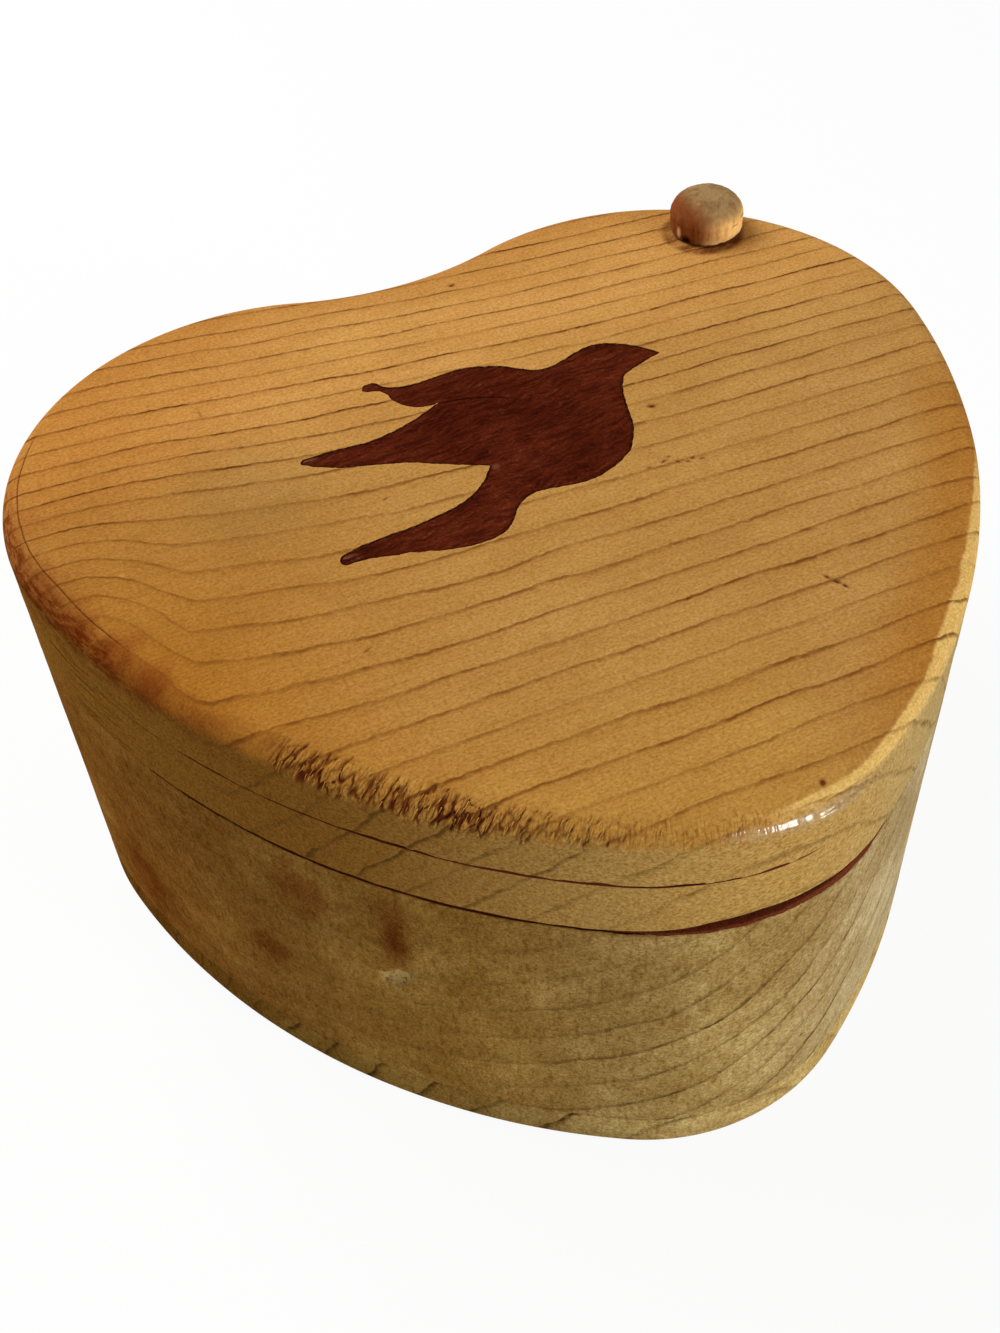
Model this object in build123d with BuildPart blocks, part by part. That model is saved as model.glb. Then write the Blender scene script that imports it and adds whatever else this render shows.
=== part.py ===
"""Heart-shaped wooden trinket box with a swivel lid, in millimetres.

A sawn heart ring stands on a base board and is lined with felt. The lid is a top board with a
bird let in right through it, glued on an under board. It swings on a round-headed wooden peg
in the right lobe. The heart's axis is Y, with the tip towards -Y. The origin is on the table,
under the middle of the heart.
"""

from math import atan2, cos, degrees, radians, sin, sqrt
import os

from build123d import *

# Heart outline, the same for the base, the ring and both lid boards
heart_width = 130.0
heart_length = 116.0
lobe_radius = 37.5
flank_radius = 102.0
tip_radius = 31.0
notch_radius = 43.0

# Thicknesses from the table up
base_thickness = 6.0
ring_height = 41.8
rim_felt_thickness = 0.6
seam_gap = 0.3
under_board_thickness = 8.7
top_board_thickness = 9.0

# Ring wall, cavity and its felt
wall_thickness = 9.5
boss_radius = 8.5
boss_blend_radius = 4.0
floor_felt_thickness = 1.2
wall_felt_thickness = 1.0
felt_clearance = 0.1
rim_felt_setback = 0.4

# Softened edges
base_edge_radius = 1.0
ring_edge_radius = 0.4
under_board_edge_radius = 0.5
lid_roundover_radius = 3.6

# Pivot peg in the right lobe
pivot_edge_distance = 7.6
pivot_bearing = 50.0
peg_radius = 3.0
peg_seat_depth = 14.0
peg_end_chamfer = 0.6
peg_head_radius = 5.5
peg_head_skirt = 1.6
peg_dome_height = 4.8
peg_head_gap = 0.6
lid_bore_clearance = 0.08
peg_glue_clearance = 0.05
rim_felt_hole_clearance = 0.5

# Finger relief sanded under the lid, just right of the tip
relief_bearing = -80.0
relief_depth = 1.8
relief_half_length = 32.0
relief_reach = 20.0

# Bird let into the top board: its length from beak to tail, and where its middle sits
bird_span = 54.0
bird_centre_x = -1.5
bird_centre_y = 11.5

# Bird outline in hundredths of its span, measured from its centre, one run for each smooth edge
beak_tip = (50.0, 12.6)
throat = (37.6, 8.5)
tail_low_tip = [(-49.4, -26.7), (-50.2, -25.0), (-48.4, -23.4)]
tail_fork = (-7.0, -9.4)
tail_high_tip = [(-46.1, 10.6), (-46.9, 11.9), (-45.7, 12.8)]
wing_root = (-8.5, 18.9)
wing_low_tip = (-22.8, 32.4)
wing_high_tip = (-20.6, 33.2)
throat_run = [beak_tip, (42.0, 10.4), throat]
breast_run = [
    throat,
    (32.8, -1.7),
    (29.1, -13.0),
    (22.6, -20.7),
    (8.5, -24.4),
    (-3.0, -23.2),
    (-7.2, -25.8),
    (-12.2, -31.5),
    (-21.7, -33.1),
    (-35.6, -29.3),
    tail_low_tip[0],
]
tail_low_run = [tail_low_tip[2], (-31.1, -21.3), (-16.5, -18.1), tail_fork]
tail_high_under_run = [tail_fork, (-17.0, -3.3), (-26.1, 1.5), (-39.3, 6.3), tail_high_tip[0]]
tail_high_over_run = [tail_high_tip[2], (-37.0, 12.6), (-28.5, 12.2), (-18.1, 14.6), wing_root]
wing_under_run = [wing_root, (-15.6, 20.9), (-18.4, 25.7), (-19.2, 28.9), wing_low_tip]
back_run = [
    wing_high_tip,
    (-15.8, 29.7),
    (0.2, 29.4),
    (12.9, 24.6),
    (19.0, 20.2),
    (26.1, 20.7),
    (35.5, 23.5),
    (44.8, 18.7),
    beak_tip,
]

# Heights above the table
ring_bottom = base_thickness
ring_top = ring_bottom + ring_height
rim_felt_top = ring_top + rim_felt_thickness
under_board_bottom = rim_felt_top + seam_gap
top_board_bottom = under_board_bottom + under_board_thickness
lid_top = top_board_bottom + top_board_thickness
peg_head_bottom = lid_top + peg_head_gap
peg_head_top = peg_head_bottom + peg_head_skirt + peg_dome_height
peg_bottom = ring_top - peg_seat_depth

# The peg's dome is a cap of a sphere, from its pole down to the skirt
peg_dome_radius = (peg_head_radius**2 + peg_dome_height**2) / (2 * peg_dome_height)
peg_dome_angle = degrees(atan2(peg_head_radius, peg_dome_radius - peg_dome_height))

# Centres of the heart's arcs: lobes, tip, notch and flanks, each tangent to the next
lobe_x = heart_width / 2 - lobe_radius
lobe_y = heart_length / 2 - lobe_radius
tip_y = tip_radius - heart_length / 2
notch_y = lobe_y + sqrt((lobe_radius + notch_radius) ** 2 - lobe_x**2)
lobe_to_tip = sqrt(lobe_x**2 + (lobe_y - tip_y) ** 2)
lobe_to_flank = flank_radius - lobe_radius
tip_to_flank = flank_radius - tip_radius
flank_along = (lobe_to_tip**2 + tip_to_flank**2 - lobe_to_flank**2) / (2 * lobe_to_tip)
flank_aside = sqrt(tip_to_flank**2 - flank_along**2)
flank_x = (lobe_x * flank_along - (lobe_y - tip_y) * flank_aside) / lobe_to_tip
flank_y = tip_y + ((lobe_y - tip_y) * flank_along + lobe_x * flank_aside) / lobe_to_tip

# Pivot axis, inside the right lobe's edge
pivot_x = lobe_x + (lobe_radius - pivot_edge_distance) * cos(radians(pivot_bearing))
pivot_y = lobe_y + (lobe_radius - pivot_edge_distance) * sin(radians(pivot_bearing))

# The relief is a slice of a wide cylinder that points out over the edge and slopes up
relief_slope = relief_depth / relief_reach
relief_radius = (relief_half_length**2 + relief_depth**2) / (2 * relief_depth)
relief_centre = (
    tip_radius * cos(radians(relief_bearing)),
    tip_y + tip_radius * sin(radians(relief_bearing)),
    under_board_bottom + relief_depth - relief_radius * sqrt(1 + relief_slope**2),
)
relief_outward = (cos(radians(relief_bearing)), sin(radians(relief_bearing)), relief_slope)


def heart_face(inset=0.0):
    """Adds the heart to the sketch, with its whole edge moved in by inset."""
    notch_end = degrees(atan2(lobe_y - notch_y, lobe_x))
    lobe_start = notch_end + 180
    flank_start = degrees(atan2(lobe_y - flank_y, lobe_x - flank_x))
    flank_end = degrees(atan2(tip_y - flank_y, -flank_x))
    with BuildLine() as edge:
        CenterArc((0, notch_y), notch_radius + inset, -90, notch_end + 90)
        CenterArc((lobe_x, lobe_y), lobe_radius - inset, lobe_start, flank_start - lobe_start)
        CenterArc((flank_x, flank_y), flank_radius - inset, flank_start, flank_end - flank_start)
        CenterArc((0, tip_y), tip_radius - inset, flank_end, -90 - flank_end)
        mirror(about=Plane.YZ)
    make_face(edge.edges())


def hollow_shape(felt=0.0):
    """The hollow of the ring round the peg's boss, less a layer of felt on its wall."""
    with BuildSketch() as hollow:
        heart_face(wall_thickness + felt)
        with Locations((pivot_x, pivot_y)):
            Circle(boss_radius + felt, mode=Mode.SUBTRACT)
        boss_corners = hollow.vertices().sort_by_distance((pivot_x, pivot_y, 0))[:2]
        fillet(boss_corners, boss_blend_radius - felt)
    return hollow.sketch


def bird_point(share):
    """A point of the bird's outline in millimetres."""
    return (bird_centre_x + share[0] * bird_span / 100, bird_centre_y + share[1] * bird_span / 100)


def bird_face():
    """Adds the bird to the sketch."""
    with BuildLine() as edge:
        for run in (throat_run, breast_run, tail_low_run, tail_high_under_run):
            Spline(*[bird_point(share) for share in run])
        for run in (tail_high_over_run, wing_under_run, back_run):
            Spline(*[bird_point(share) for share in run])
        for tip in (tail_low_tip, tail_high_tip):
            ThreePointArc(*[bird_point(share) for share in tip])
        Line(bird_point(wing_low_tip), bird_point(wing_high_tip))
    make_face(edge.edges())


os.makedirs("parts", exist_ok=True)

# Base board, with its lower edge eased
with BuildPart() as base_board:
    with BuildSketch():
        heart_face()
    extrude(amount=base_thickness)
    fillet(base_board.edges().group_by(Axis.Z)[0], base_edge_radius)
base_board.part.label = "base_board"

# Ring sawn from one block, with a boss inside the right lobe for the peg
with BuildPart() as body_ring:
    with BuildSketch(Plane.XY.offset(ring_bottom)):
        heart_face()
    extrude(amount=ring_height)
    fillet(body_ring.edges().group_by(Axis.Z)[-1], ring_edge_radius)
    with BuildSketch(Plane.XY.offset(ring_bottom)):
        add(hollow_shape())
    extrude(amount=ring_height, mode=Mode.SUBTRACT)
    with Locations((pivot_x, pivot_y, ring_top)):
        Hole(peg_radius + peg_glue_clearance, depth=peg_seat_depth)
body_ring.part.label = "body_ring"

# Felt on the cavity's wall, from the base board to the rim
with BuildPart() as wall_felt:
    with BuildSketch(Plane.XY.offset(ring_bottom)):
        add(hollow_shape())
    extrude(amount=ring_height)
    with BuildSketch(Plane.XY.offset(ring_bottom)):
        add(hollow_shape(wall_felt_thickness))
    extrude(amount=ring_height, mode=Mode.SUBTRACT)
wall_felt.part.label = "wall_felt"

# Felt on the cavity's floor
with BuildPart() as floor_felt:
    with BuildSketch(Plane.XY.offset(ring_bottom)):
        add(hollow_shape(wall_felt_thickness + felt_clearance))
    extrude(amount=floor_felt_thickness)
floor_felt.part.label = "floor_felt"

# Felt glide on the rim, over the top edge of the wall felt
with BuildPart() as rim_felt:
    with BuildSketch(Plane.XY.offset(ring_top)):
        heart_face(rim_felt_setback)
    extrude(amount=rim_felt_thickness)
    with BuildSketch(Plane.XY.offset(ring_top)):
        add(hollow_shape(wall_felt_thickness))
    extrude(amount=rim_felt_thickness, mode=Mode.SUBTRACT)
    with Locations((pivot_x, pivot_y, rim_felt_top)):
        Hole(peg_radius + rim_felt_hole_clearance, depth=rim_felt_thickness)
rim_felt.part.label = "rim_felt"

# Under board of the lid, with the finger relief sanded into it
with BuildPart() as lid_under_board:
    with BuildSketch(Plane.XY.offset(under_board_bottom)):
        heart_face()
    extrude(amount=under_board_thickness)
    fillet(lid_under_board.edges().group_by(Axis.Z)[0], under_board_edge_radius)
    with BuildSketch(Plane(origin=relief_centre, z_dir=relief_outward)):
        Circle(relief_radius)
    extrude(amount=relief_half_length, both=True, mode=Mode.SUBTRACT)
    with Locations((pivot_x, pivot_y, top_board_bottom)):
        Hole(peg_radius + lid_bore_clearance, depth=under_board_thickness)
lid_under_board.part.label = "lid_under_board"

# Top board of the lid, rounded over, with the bird sawn out right through it
with BuildPart() as lid_top_board:
    with BuildSketch(Plane.XY.offset(top_board_bottom)):
        heart_face()
    extrude(amount=top_board_thickness)
    fillet(lid_top_board.edges().group_by(Axis.Z)[-1], lid_roundover_radius)
    with BuildSketch(Plane.XY.offset(top_board_bottom)):
        bird_face()
    extrude(amount=top_board_thickness, mode=Mode.SUBTRACT)
    with Locations((pivot_x, pivot_y, lid_top)):
        Hole(peg_radius + lid_bore_clearance, depth=top_board_thickness)
lid_top_board.part.label = "lid_top_board"

# Bird of dark wood, glued tight into the hole
with BuildPart() as bird_inlay:
    with BuildSketch(Plane.XY.offset(top_board_bottom)):
        bird_face()
    extrude(amount=top_board_thickness)
bird_inlay.part.label = "bird_inlay"

# Pivot peg: a shank glued into the ring and a domed head that keeps the lid down
with BuildPart() as pivot_peg:
    with BuildSketch(Plane(origin=(pivot_x, pivot_y, 0), x_dir=(1, 0, 0), z_dir=(0, -1, 0))):
        with BuildLine():
            Polyline(
                (0, peg_head_top),
                (0, peg_bottom),
                (peg_radius - peg_end_chamfer, peg_bottom),
                (peg_radius, peg_bottom + peg_end_chamfer),
                (peg_radius, peg_head_bottom),
                (peg_head_radius, peg_head_bottom),
                (peg_head_radius, peg_head_bottom + peg_head_skirt),
            )
            CenterArc((0, peg_head_top - peg_dome_radius), peg_dome_radius, 90 - peg_dome_angle, peg_dome_angle)
        make_face()
    revolve(axis=Axis((pivot_x, pivot_y, 0), (0, 0, 1)))
pivot_peg.part.label = "pivot_peg"

for piece in (
    base_board,
    body_ring,
    wall_felt,
    floor_felt,
    rim_felt,
    lid_under_board,
    lid_top_board,
    bird_inlay,
    pivot_peg,
):
    export_step(piece.part, f"parts/{piece.part.label}.step")
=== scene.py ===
"""Looks of a heart-shaped wooden trinket box: its woods, felts, torn grain, light and camera.

Lengths are in metres in the frame's own axes: +Z up, the heart's tip towards -Y. Distances along the
heart's edge are counted from the tip, positive to the right. Shaders count in millimetres.
"""

from functools import partial
from math import asin, atan2, cos, pi, radians, sin, sqrt

import bpy
import numpy as np
from bpy.props import FloatProperty, FloatVectorProperty, IntProperty, PointerProperty
from mathutils import Matrix, Vector, noise
from mathutils.geometry import delaunay_2d_cdt


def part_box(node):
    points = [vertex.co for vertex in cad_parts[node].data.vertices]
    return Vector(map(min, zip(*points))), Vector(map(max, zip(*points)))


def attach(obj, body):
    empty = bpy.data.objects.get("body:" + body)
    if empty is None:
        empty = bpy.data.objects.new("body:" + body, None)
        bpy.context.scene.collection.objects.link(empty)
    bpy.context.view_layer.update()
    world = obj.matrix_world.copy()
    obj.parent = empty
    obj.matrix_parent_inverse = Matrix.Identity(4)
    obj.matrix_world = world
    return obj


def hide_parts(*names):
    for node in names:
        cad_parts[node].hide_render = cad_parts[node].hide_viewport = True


bl_info = {
    "name": "Heart Trinket Box",
    "version": (1, 0, 0),
    "blender": (4, 5, 0),
    "location": "3D View > Sidebar > Heart Box",
    "description": "Builds the looks of a heart-shaped wooden trinket box with a swivel lid",
    "category": "Object",
}

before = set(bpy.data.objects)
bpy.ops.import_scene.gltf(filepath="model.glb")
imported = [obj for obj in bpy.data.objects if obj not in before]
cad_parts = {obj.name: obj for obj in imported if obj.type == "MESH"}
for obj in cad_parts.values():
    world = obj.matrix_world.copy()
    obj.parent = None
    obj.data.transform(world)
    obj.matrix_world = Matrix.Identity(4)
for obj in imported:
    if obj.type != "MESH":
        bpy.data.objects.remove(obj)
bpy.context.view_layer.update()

mm = 0.001

# Heights and places that the frame gives
base_low, base_high = map(Vector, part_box("base_board"))
ring_low, ring_high = map(Vector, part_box("body_ring"))
floor_felt_low, floor_felt_high = map(Vector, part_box("floor_felt"))
rim_felt_low, rim_felt_high = map(Vector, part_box("rim_felt"))
under_low, under_high = map(Vector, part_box("lid_under_board"))
lid_low, lid_high = map(Vector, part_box("lid_top_board"))
peg_low, peg_high = map(Vector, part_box("pivot_peg"))
pivot = (peg_low + peg_high) / 2
half_width = (base_high.x - base_low.x) / 2
half_length = (base_high.y - base_low.y) / 2
peg_head_radius = (peg_high.x - peg_low.x) / 2

# Radii of the heart's arcs and of its softened edges
lobe_radius = 37.5 * mm
flank_radius = 102.0 * mm
tip_radius = 31.0 * mm
notch_radius = 43.0 * mm
base_edge_radius = 1.0 * mm
ring_edge_radius = 0.4 * mm
under_edge_radius = 0.5 * mm
lid_roundover = 3.6 * mm

# The peg and the holes round it
peg_shank_radius = 3.0 * mm
peg_head_gap = 0.6 * mm
peg_end_chamfer = 0.6 * mm
lid_hole_radius = 3.08 * mm
ring_hole_radius = 3.05 * mm
felt_hole_radius = 3.5 * mm
rim_felt_setback = 0.4 * mm

# Finger relief under the lid, right of the tip
relief_bearing = radians(-80.0)
relief_depth = 1.8 * mm
relief_half_length = 32.0 * mm
relief_reach = 20.0 * mm


def colour_setting(name, description, default):
    """A colour that the panel shows."""
    return FloatVectorProperty(
        name=name, description=description, default=default, subtype="COLOR", min=0.0, max=1.0
    )


def distance_setting(name, description, default, low, high):
    """A length that the panel shows, given here in millimetres."""
    return FloatProperty(
        name=name,
        description=description,
        default=default * mm,
        min=low * mm,
        max=high * mm,
        subtype="DISTANCE",
        unit="LENGTH",
    )


class HeartBoxWoods(bpy.types.PropertyGroup):
    """Colours and figure of the woods."""

    lid_colour: colour_setting(
        "Lid wood", "Colour of the varnished lid between its growth lines", (0.492, 0.255, 0.066)
    )
    lid_line_colour: colour_setting(
        "Lid growth lines", "Colour of the thin dark growth lines in the lid", (0.165, 0.05, 0.008)
    )
    body_colour: colour_setting(
        "Body wood", "Colour of the sawn ring and the base board", (0.395, 0.262, 0.085)
    )
    body_line_colour: colour_setting(
        "Body growth lines", "Colour of the growth lines in the body", (0.085, 0.036, 0.009)
    )
    bird_colour: colour_setting("Bird wood", "Colour of the dark wood of the bird", (0.072, 0.0095, 0.0032))
    peg_colour: colour_setting("Peg wood", "Colour of the turned peg", (0.52, 0.285, 0.105))
    ring_spacing: distance_setting(
        "Growth line spacing", "Distance between growth lines across the lid", 4.54, 1.0, 20.0
    )
    body_ring_spacing: distance_setting(
        "Body line spacing", "Distance between growth lines in the body ring", 5.6, 1.0, 20.0
    )


class HeartBoxWear(bpy.types.PropertyGroup):
    """Sizes of the torn grain, dents, cracks and glue lines."""

    tear_depth: distance_setting(
        "Torn grain depth", "Deepest pluck in the torn grain along the lid's front edge", 0.5, 0.0, 1.5
    )
    tear_width: distance_setting(
        "Torn rib width", "Width of one torn bundle of fibres along the edge", 0.9, 0.2, 4.0
    )
    sliver_count: IntProperty(
        name="Loose fibres",
        description="How many loose fibres stand out of the torn grain",
        default=120,
        min=0,
        max=600,
    )
    crack_height: distance_setting(
        "Open glue joint", "Widest opening of the joint between the lid's two boards", 0.48, 0.0, 1.0
    )
    glue_line_width: distance_setting(
        "Glue line", "Width of the dark glue line round the bird", 0.2, 0.02, 1.0
    )
    sanding_depth: distance_setting(
        "Hand sanding", "How far sanded faces wander below a true plane", 0.06, 0.0, 0.5
    )


class HeartBoxFelt(bpy.types.PropertyGroup):
    """Colour and nap of the felt."""

    colour: colour_setting("Felt", "Colour of the felt lining", (0.165, 0.034, 0.012))
    nap_depth: distance_setting("Nap depth", "How far the felt's face rises and falls", 0.16, 0.0, 1.0)


class HeartBoxStage(bpy.types.PropertyGroup):
    """Light and floor."""

    key_power: FloatProperty(
        name="Key lamp",
        description="Power of the lamp at the front right",
        default=4.0,
        min=0.0,
        unit="POWER",
    )
    top_power: FloatProperty(
        name="Top lamp",
        description="Power of the wide lamp above the back",
        default=4.3,
        min=0.0,
        unit="POWER",
    )
    fill_light: FloatProperty(
        name="Fill",
        description="Strength of the even light from all round",
        default=0.20,
        min=0.0,
        max=2.0,
    )
    floor_colour: colour_setting("Floor", "Colour of the pale floor", (0.82, 0.82, 0.81))


# Outline of the heart


def heart_arcs():
    """The right half's arcs from the tip to the notch: centre, radius, first and last angle, bulge."""
    lobe = Vector((half_width - lobe_radius, half_length - lobe_radius))
    tip = Vector((0.0, tip_radius - half_length))
    notch = Vector((0.0, lobe.y + sqrt((lobe_radius + notch_radius) ** 2 - lobe.x**2)))
    lobe_to_tip = (lobe - tip).length
    lobe_to_flank = flank_radius - lobe_radius
    tip_to_flank = flank_radius - tip_radius
    along = (lobe_to_tip**2 + tip_to_flank**2 - lobe_to_flank**2) / (2 * lobe_to_tip)
    aside = sqrt(tip_to_flank**2 - along**2)
    to_lobe = (lobe - tip).normalized()
    flank = tip + to_lobe * along + Vector((-to_lobe.y, to_lobe.x)) * aside
    tip_end = atan2(tip.y - flank.y, tip.x - flank.x)
    flank_end = atan2(lobe.y - flank.y, lobe.x - flank.x)
    notch_start = atan2(lobe.y - notch.y, lobe.x - notch.x)
    return (
        (tip, tip_radius, -pi / 2, tip_end, 1),
        (flank, flank_radius, tip_end, flank_end, 1),
        (lobe, lobe_radius, flank_end, notch_start + pi, 1),
        (notch, notch_radius, notch_start, -pi / 2, -1),
    )


def half_edge():
    """Length of the heart's edge from the tip to the notch."""
    return sum(radius * abs(last - first) for centre, radius, first, last, bulge in heart_arcs())


def heart_edge(along):
    """Points on the heart's edge and the outward directions there, as rows of x and y."""
    half = half_edge()
    folded = np.mod(np.asarray(along, float) + half, 2 * half) - half
    side = np.where(folded < 0, -1.0, 1.0)
    rest = np.abs(folded)
    points = np.zeros((len(rest), 2))
    outward = np.zeros((len(rest), 2))
    start = 0.0
    for centre, radius, first, last, bulge in heart_arcs():
        length = radius * abs(last - first)
        here = (rest >= start) & (rest <= start + length)
        angle = first + (last - first) * (rest[here] - start) / length
        ray = np.stack([np.cos(angle), np.sin(angle)], 1)
        points[here] = np.array(centre) + radius * ray
        outward[here] = bulge * ray
        start += length
    points[:, 0] *= side
    outward[:, 0] *= side
    return points, outward


def edge_steps(spacing, fine_spacing=None, fine_span=None):
    """Distances along the whole edge, closer together over a span that needs fine detail."""
    half = half_edge()
    if fine_span is None:
        return np.linspace(-half, half, round(2 * half / spacing), endpoint=False)
    low, high = fine_span
    before = np.linspace(-half, low, round((low + half) / spacing), endpoint=False)
    fine = np.linspace(low, high, round((high - low) / fine_spacing), endpoint=False)
    after = np.linspace(high, half, round((half - high) / spacing), endpoint=False)
    return np.concatenate([before, fine, after])


# Loops read from the frame's own pieces


def loops_of(node, height):
    """Closed outlines of a frame node's flat face at a height, the longest first, counter-clockwise."""
    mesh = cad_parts[node].data
    level = {v.index for v in mesh.vertices if abs(v.co.z - height) < 0.01 * mm}
    spots = {}
    follow = {}
    counts = {}
    for face in mesh.polygons:
        if not all(index in level for index in face.vertices) or abs(face.normal.z) < 0.9:
            continue
        corners = [tuple(round(c * 1e6) for c in mesh.vertices[i].co[:2]) for i in face.vertices]
        for corner, index in zip(corners, face.vertices):
            spots[corner] = mesh.vertices[index].co[:2]
        for a, b in zip(corners, corners[1:] + corners[:1]):
            counts[a, b] = counts.get((a, b), 0) + 1
    for a, b in counts:
        if (b, a) not in counts:
            follow[a] = b
    loops = []
    while follow:
        first, here = follow.popitem()
        loop = [first]
        while here != first:
            loop.append(here)
            here = follow.pop(here)
        points = np.array([spots[corner] for corner in loop])
        loops.append(points if turning(points) > 0 else points[::-1])
    return sorted(loops, key=lambda loop: -abs(turning(loop)))


def turning(loop):
    """Twice the area inside a loop, negative where it runs clockwise."""
    after = np.roll(loop, -1, axis=0)
    return float((loop[:, 0] * after[:, 1] - after[:, 0] * loop[:, 1]).sum())


def evenly(loop, spacing, smoothing=0):
    """The loop again with evenly spaced points, with its facets smoothed away."""
    closed = np.vstack([loop, loop[:1]])
    along = np.concatenate([[0.0], np.cumsum(np.linalg.norm(np.diff(closed, axis=0), axis=1))])
    steps = np.linspace(0, along[-1], round(along[-1] / spacing), endpoint=False)
    even = np.stack([np.interp(steps, along, closed[:, axis]) for axis in (0, 1)], 1)
    for _ in range(smoothing):
        even = (np.roll(even, 1, axis=0) + 2 * even + np.roll(even, -1, axis=0)) / 4
    return even


def outlines(node, height, spacing, smoothing=6):
    """The node's outlines at a height, with evenly spaced points."""
    return [evenly(loop, spacing, smoothing) for loop in loops_of(node, height)]


def length_of(loop):
    """The way round a loop."""
    return float(np.linalg.norm(np.roll(loop, -1, axis=0) - loop, axis=1).sum())


def loop_outward(loop):
    """Outward directions of a counter-clockwise loop's points."""
    run = np.roll(loop, -1, axis=0) - np.roll(loop, 1, axis=0)
    run /= np.linalg.norm(run, axis=1, keepdims=True)
    return np.stack([run[:, 1], -run[:, 0]], 1)


def circle_loop(centre, radius, count):
    """Counter-clockwise points of a circle."""
    angle = np.linspace(0, 2 * pi, count, endpoint=False)
    return np.stack([centre.x + radius * np.cos(angle), centre.y + radius * np.sin(angle)], 1)


def at_height(flat, height):
    """Points of x and y with a height, which may change from point to point."""
    return np.column_stack([flat, np.broadcast_to(height, len(flat))])


def edge_ring(points, outward, inset, height):
    """A ring at an inset from the edge and a height, either of which may change along it."""
    return at_height(points - outward * np.broadcast_to(inset, len(points))[:, None], height)


def circle_rings(radius, heights, count=48):
    """Rings of a round hole at the pivot."""
    return [at_height(circle_loop(pivot, radius, count), height) for height in heights]


def inside(loop, points):
    """Which points lie inside a loop."""
    x, y = points[:, 0], points[:, 1]
    crossed = np.zeros(len(points), bool)
    for (ax, ay), (bx, by) in zip(loop, np.roll(loop, -1, axis=0)):
        if ay != by:
            meets = (ay > y) != (by > y)
            crossed ^= meets & (x < (bx - ax) * (y - ay) / (by - ay) + ax)
    return crossed


def clearance(points, edges):
    """Distance from each point to the nearest of the edge points."""
    nearest = np.full(len(points), np.inf)
    for spot in edges:
        nearest = np.minimum(nearest, ((points[:, :2] - spot) ** 2).sum(axis=1))
    return np.sqrt(nearest)


def spread_points(loop, holes, spacing, extra=()):
    """Points spread over the area inside a loop and outside its holes, not on a visible grid.

    extra points are kept where they are, as long as they don't touch an edge.
    """
    low, high = loop.min(axis=0), loop.max(axis=0)
    columns = np.arange(low[0], high[0], spacing)
    rows = np.arange(low[1], high[1], spacing * 0.87)
    points = []
    for row, y in enumerate(rows):
        for x in columns + (row % 2) * spacing / 2:
            spot = (x / spacing * 1.7, y / spacing * 1.7)
            aside, ahead = [0.25 * spacing * noise.noise((*spot, level)) for level in (3.1, 7.7)]
            points.append((x + aside, y + ahead))
    room = np.concatenate([np.full(len(points), 0.45 * spacing), np.full(len(extra), 0.08 * mm)])
    points = np.array(points + list(extra))
    keep = inside(loop, points)
    for hole in holes:
        keep &= ~inside(hole, points)
    keep &= clearance(points, np.vstack([loop] + list(holes))) > room
    return points[keep]


# Smooth noise over rows of points


def lumps(points, size, seed, octaves=3):
    """Smooth noise from about -1 to 1 at each point, with lumps of about that size.

    points are rows, or a tuple of columns.
    """
    if isinstance(points, tuple):
        points = np.column_stack(np.broadcast_arrays(*points))
    places = np.asarray(points, float) / size
    if places.ndim == 1:
        places = places[:, None]
    if places.shape[1] < 3:
        places = np.hstack([places, np.full((len(places), 3 - places.shape[1]), seed * 7.31)])
    else:
        places = places + seed * 7.31
    values = []
    for place in places:
        total, scale, share = 0.0, 1.0, 1.0
        for _ in range(octaves):
            total += share * noise.noise(Vector(place) * scale)
            scale *= 2.1
            share *= 0.5
        values.append(total)
    return np.array(values)


def ease(values, start, end):
    """A smooth rise from 0 at start to 1 at end."""
    share = np.clip((np.asarray(values, float) - start) / (end - start), 0.0, 1.0)
    return share * share * (3 - 2 * share)


def within(values, rise, full, fade, end):
    """1 from full to fade and 0 before rise and after end, with smooth changes between them."""
    return ease(values, rise, full) * ease(values, end, fade)


def course(along, steps, values):
    """A length that runs straight between its values at steps along the edge, all given in millimetres."""
    return np.interp(along / mm, steps, values) * mm


def dot(flat, x, y, size):
    """A soft dot that is 1 at its middle. The middle and the size are in millimetres."""
    return np.exp(-((np.linalg.norm(flat / mm - (x, y), axis=1) / size) ** 2))


def sanded(points, seed, share=1):
    """How far hand sanding has worn each point below its true place."""
    depth = share * bpy.context.scene.heart_box_wear.sanding_depth
    return depth * (0.5 + 0.5 * np.clip(lumps(points, 22 * mm, seed, 2), -1, 1))


def fuzz(points, height, seed):
    """How far the fine roughness of a sawn face lies below its true place."""
    return 0.02 * mm * (1 + lumps(at_height(points, height), 1.6 * mm, seed))


# Meshes


def cap(vertices, loops, points, height, upward):
    """Triangles that fill the area between loops of vertex numbers, with new points inside it.

    height gives each new point's height. Without it they lie level with the first loop.
    """
    borders = [np.array([vertices[i][:2] for i in loop]) for loop in loops]
    spots = [Vector(spot) for border in borders for spot in border] + [Vector(p) for p in points]
    edges = []
    start = 0
    for border in borders:
        count = len(border)
        edges += [(start + i, start + (i + 1) % count) for i in range(count)]
        start += count
    made, _, faces, sources, _, _ = delaunay_2d_cdt(spots, edges, [], 0, 1e-9)
    ids = [index for loop in loops for index in loop]
    number = []
    for spot, source in zip(made, sources):
        if source and source[0] < len(ids):
            number.append(ids[source[0]])
        else:
            number.append(len(vertices))
            level = height(np.array([spot]))[0] if height else vertices[ids[0]][2]
            vertices.append((spot.x, spot.y, level))
    flat = np.array([spot[:] for spot in made])
    middles = flat[np.array(faces)].mean(axis=1)
    keep = inside(borders[0], middles)
    for border in borders[1:]:
        keep &= ~inside(border, middles)
    order = (0, 1, 2) if upward else (0, 2, 1)
    return [tuple(number[face[i]] for i in order) for face, kept in zip(faces, keep) if kept]


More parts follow.
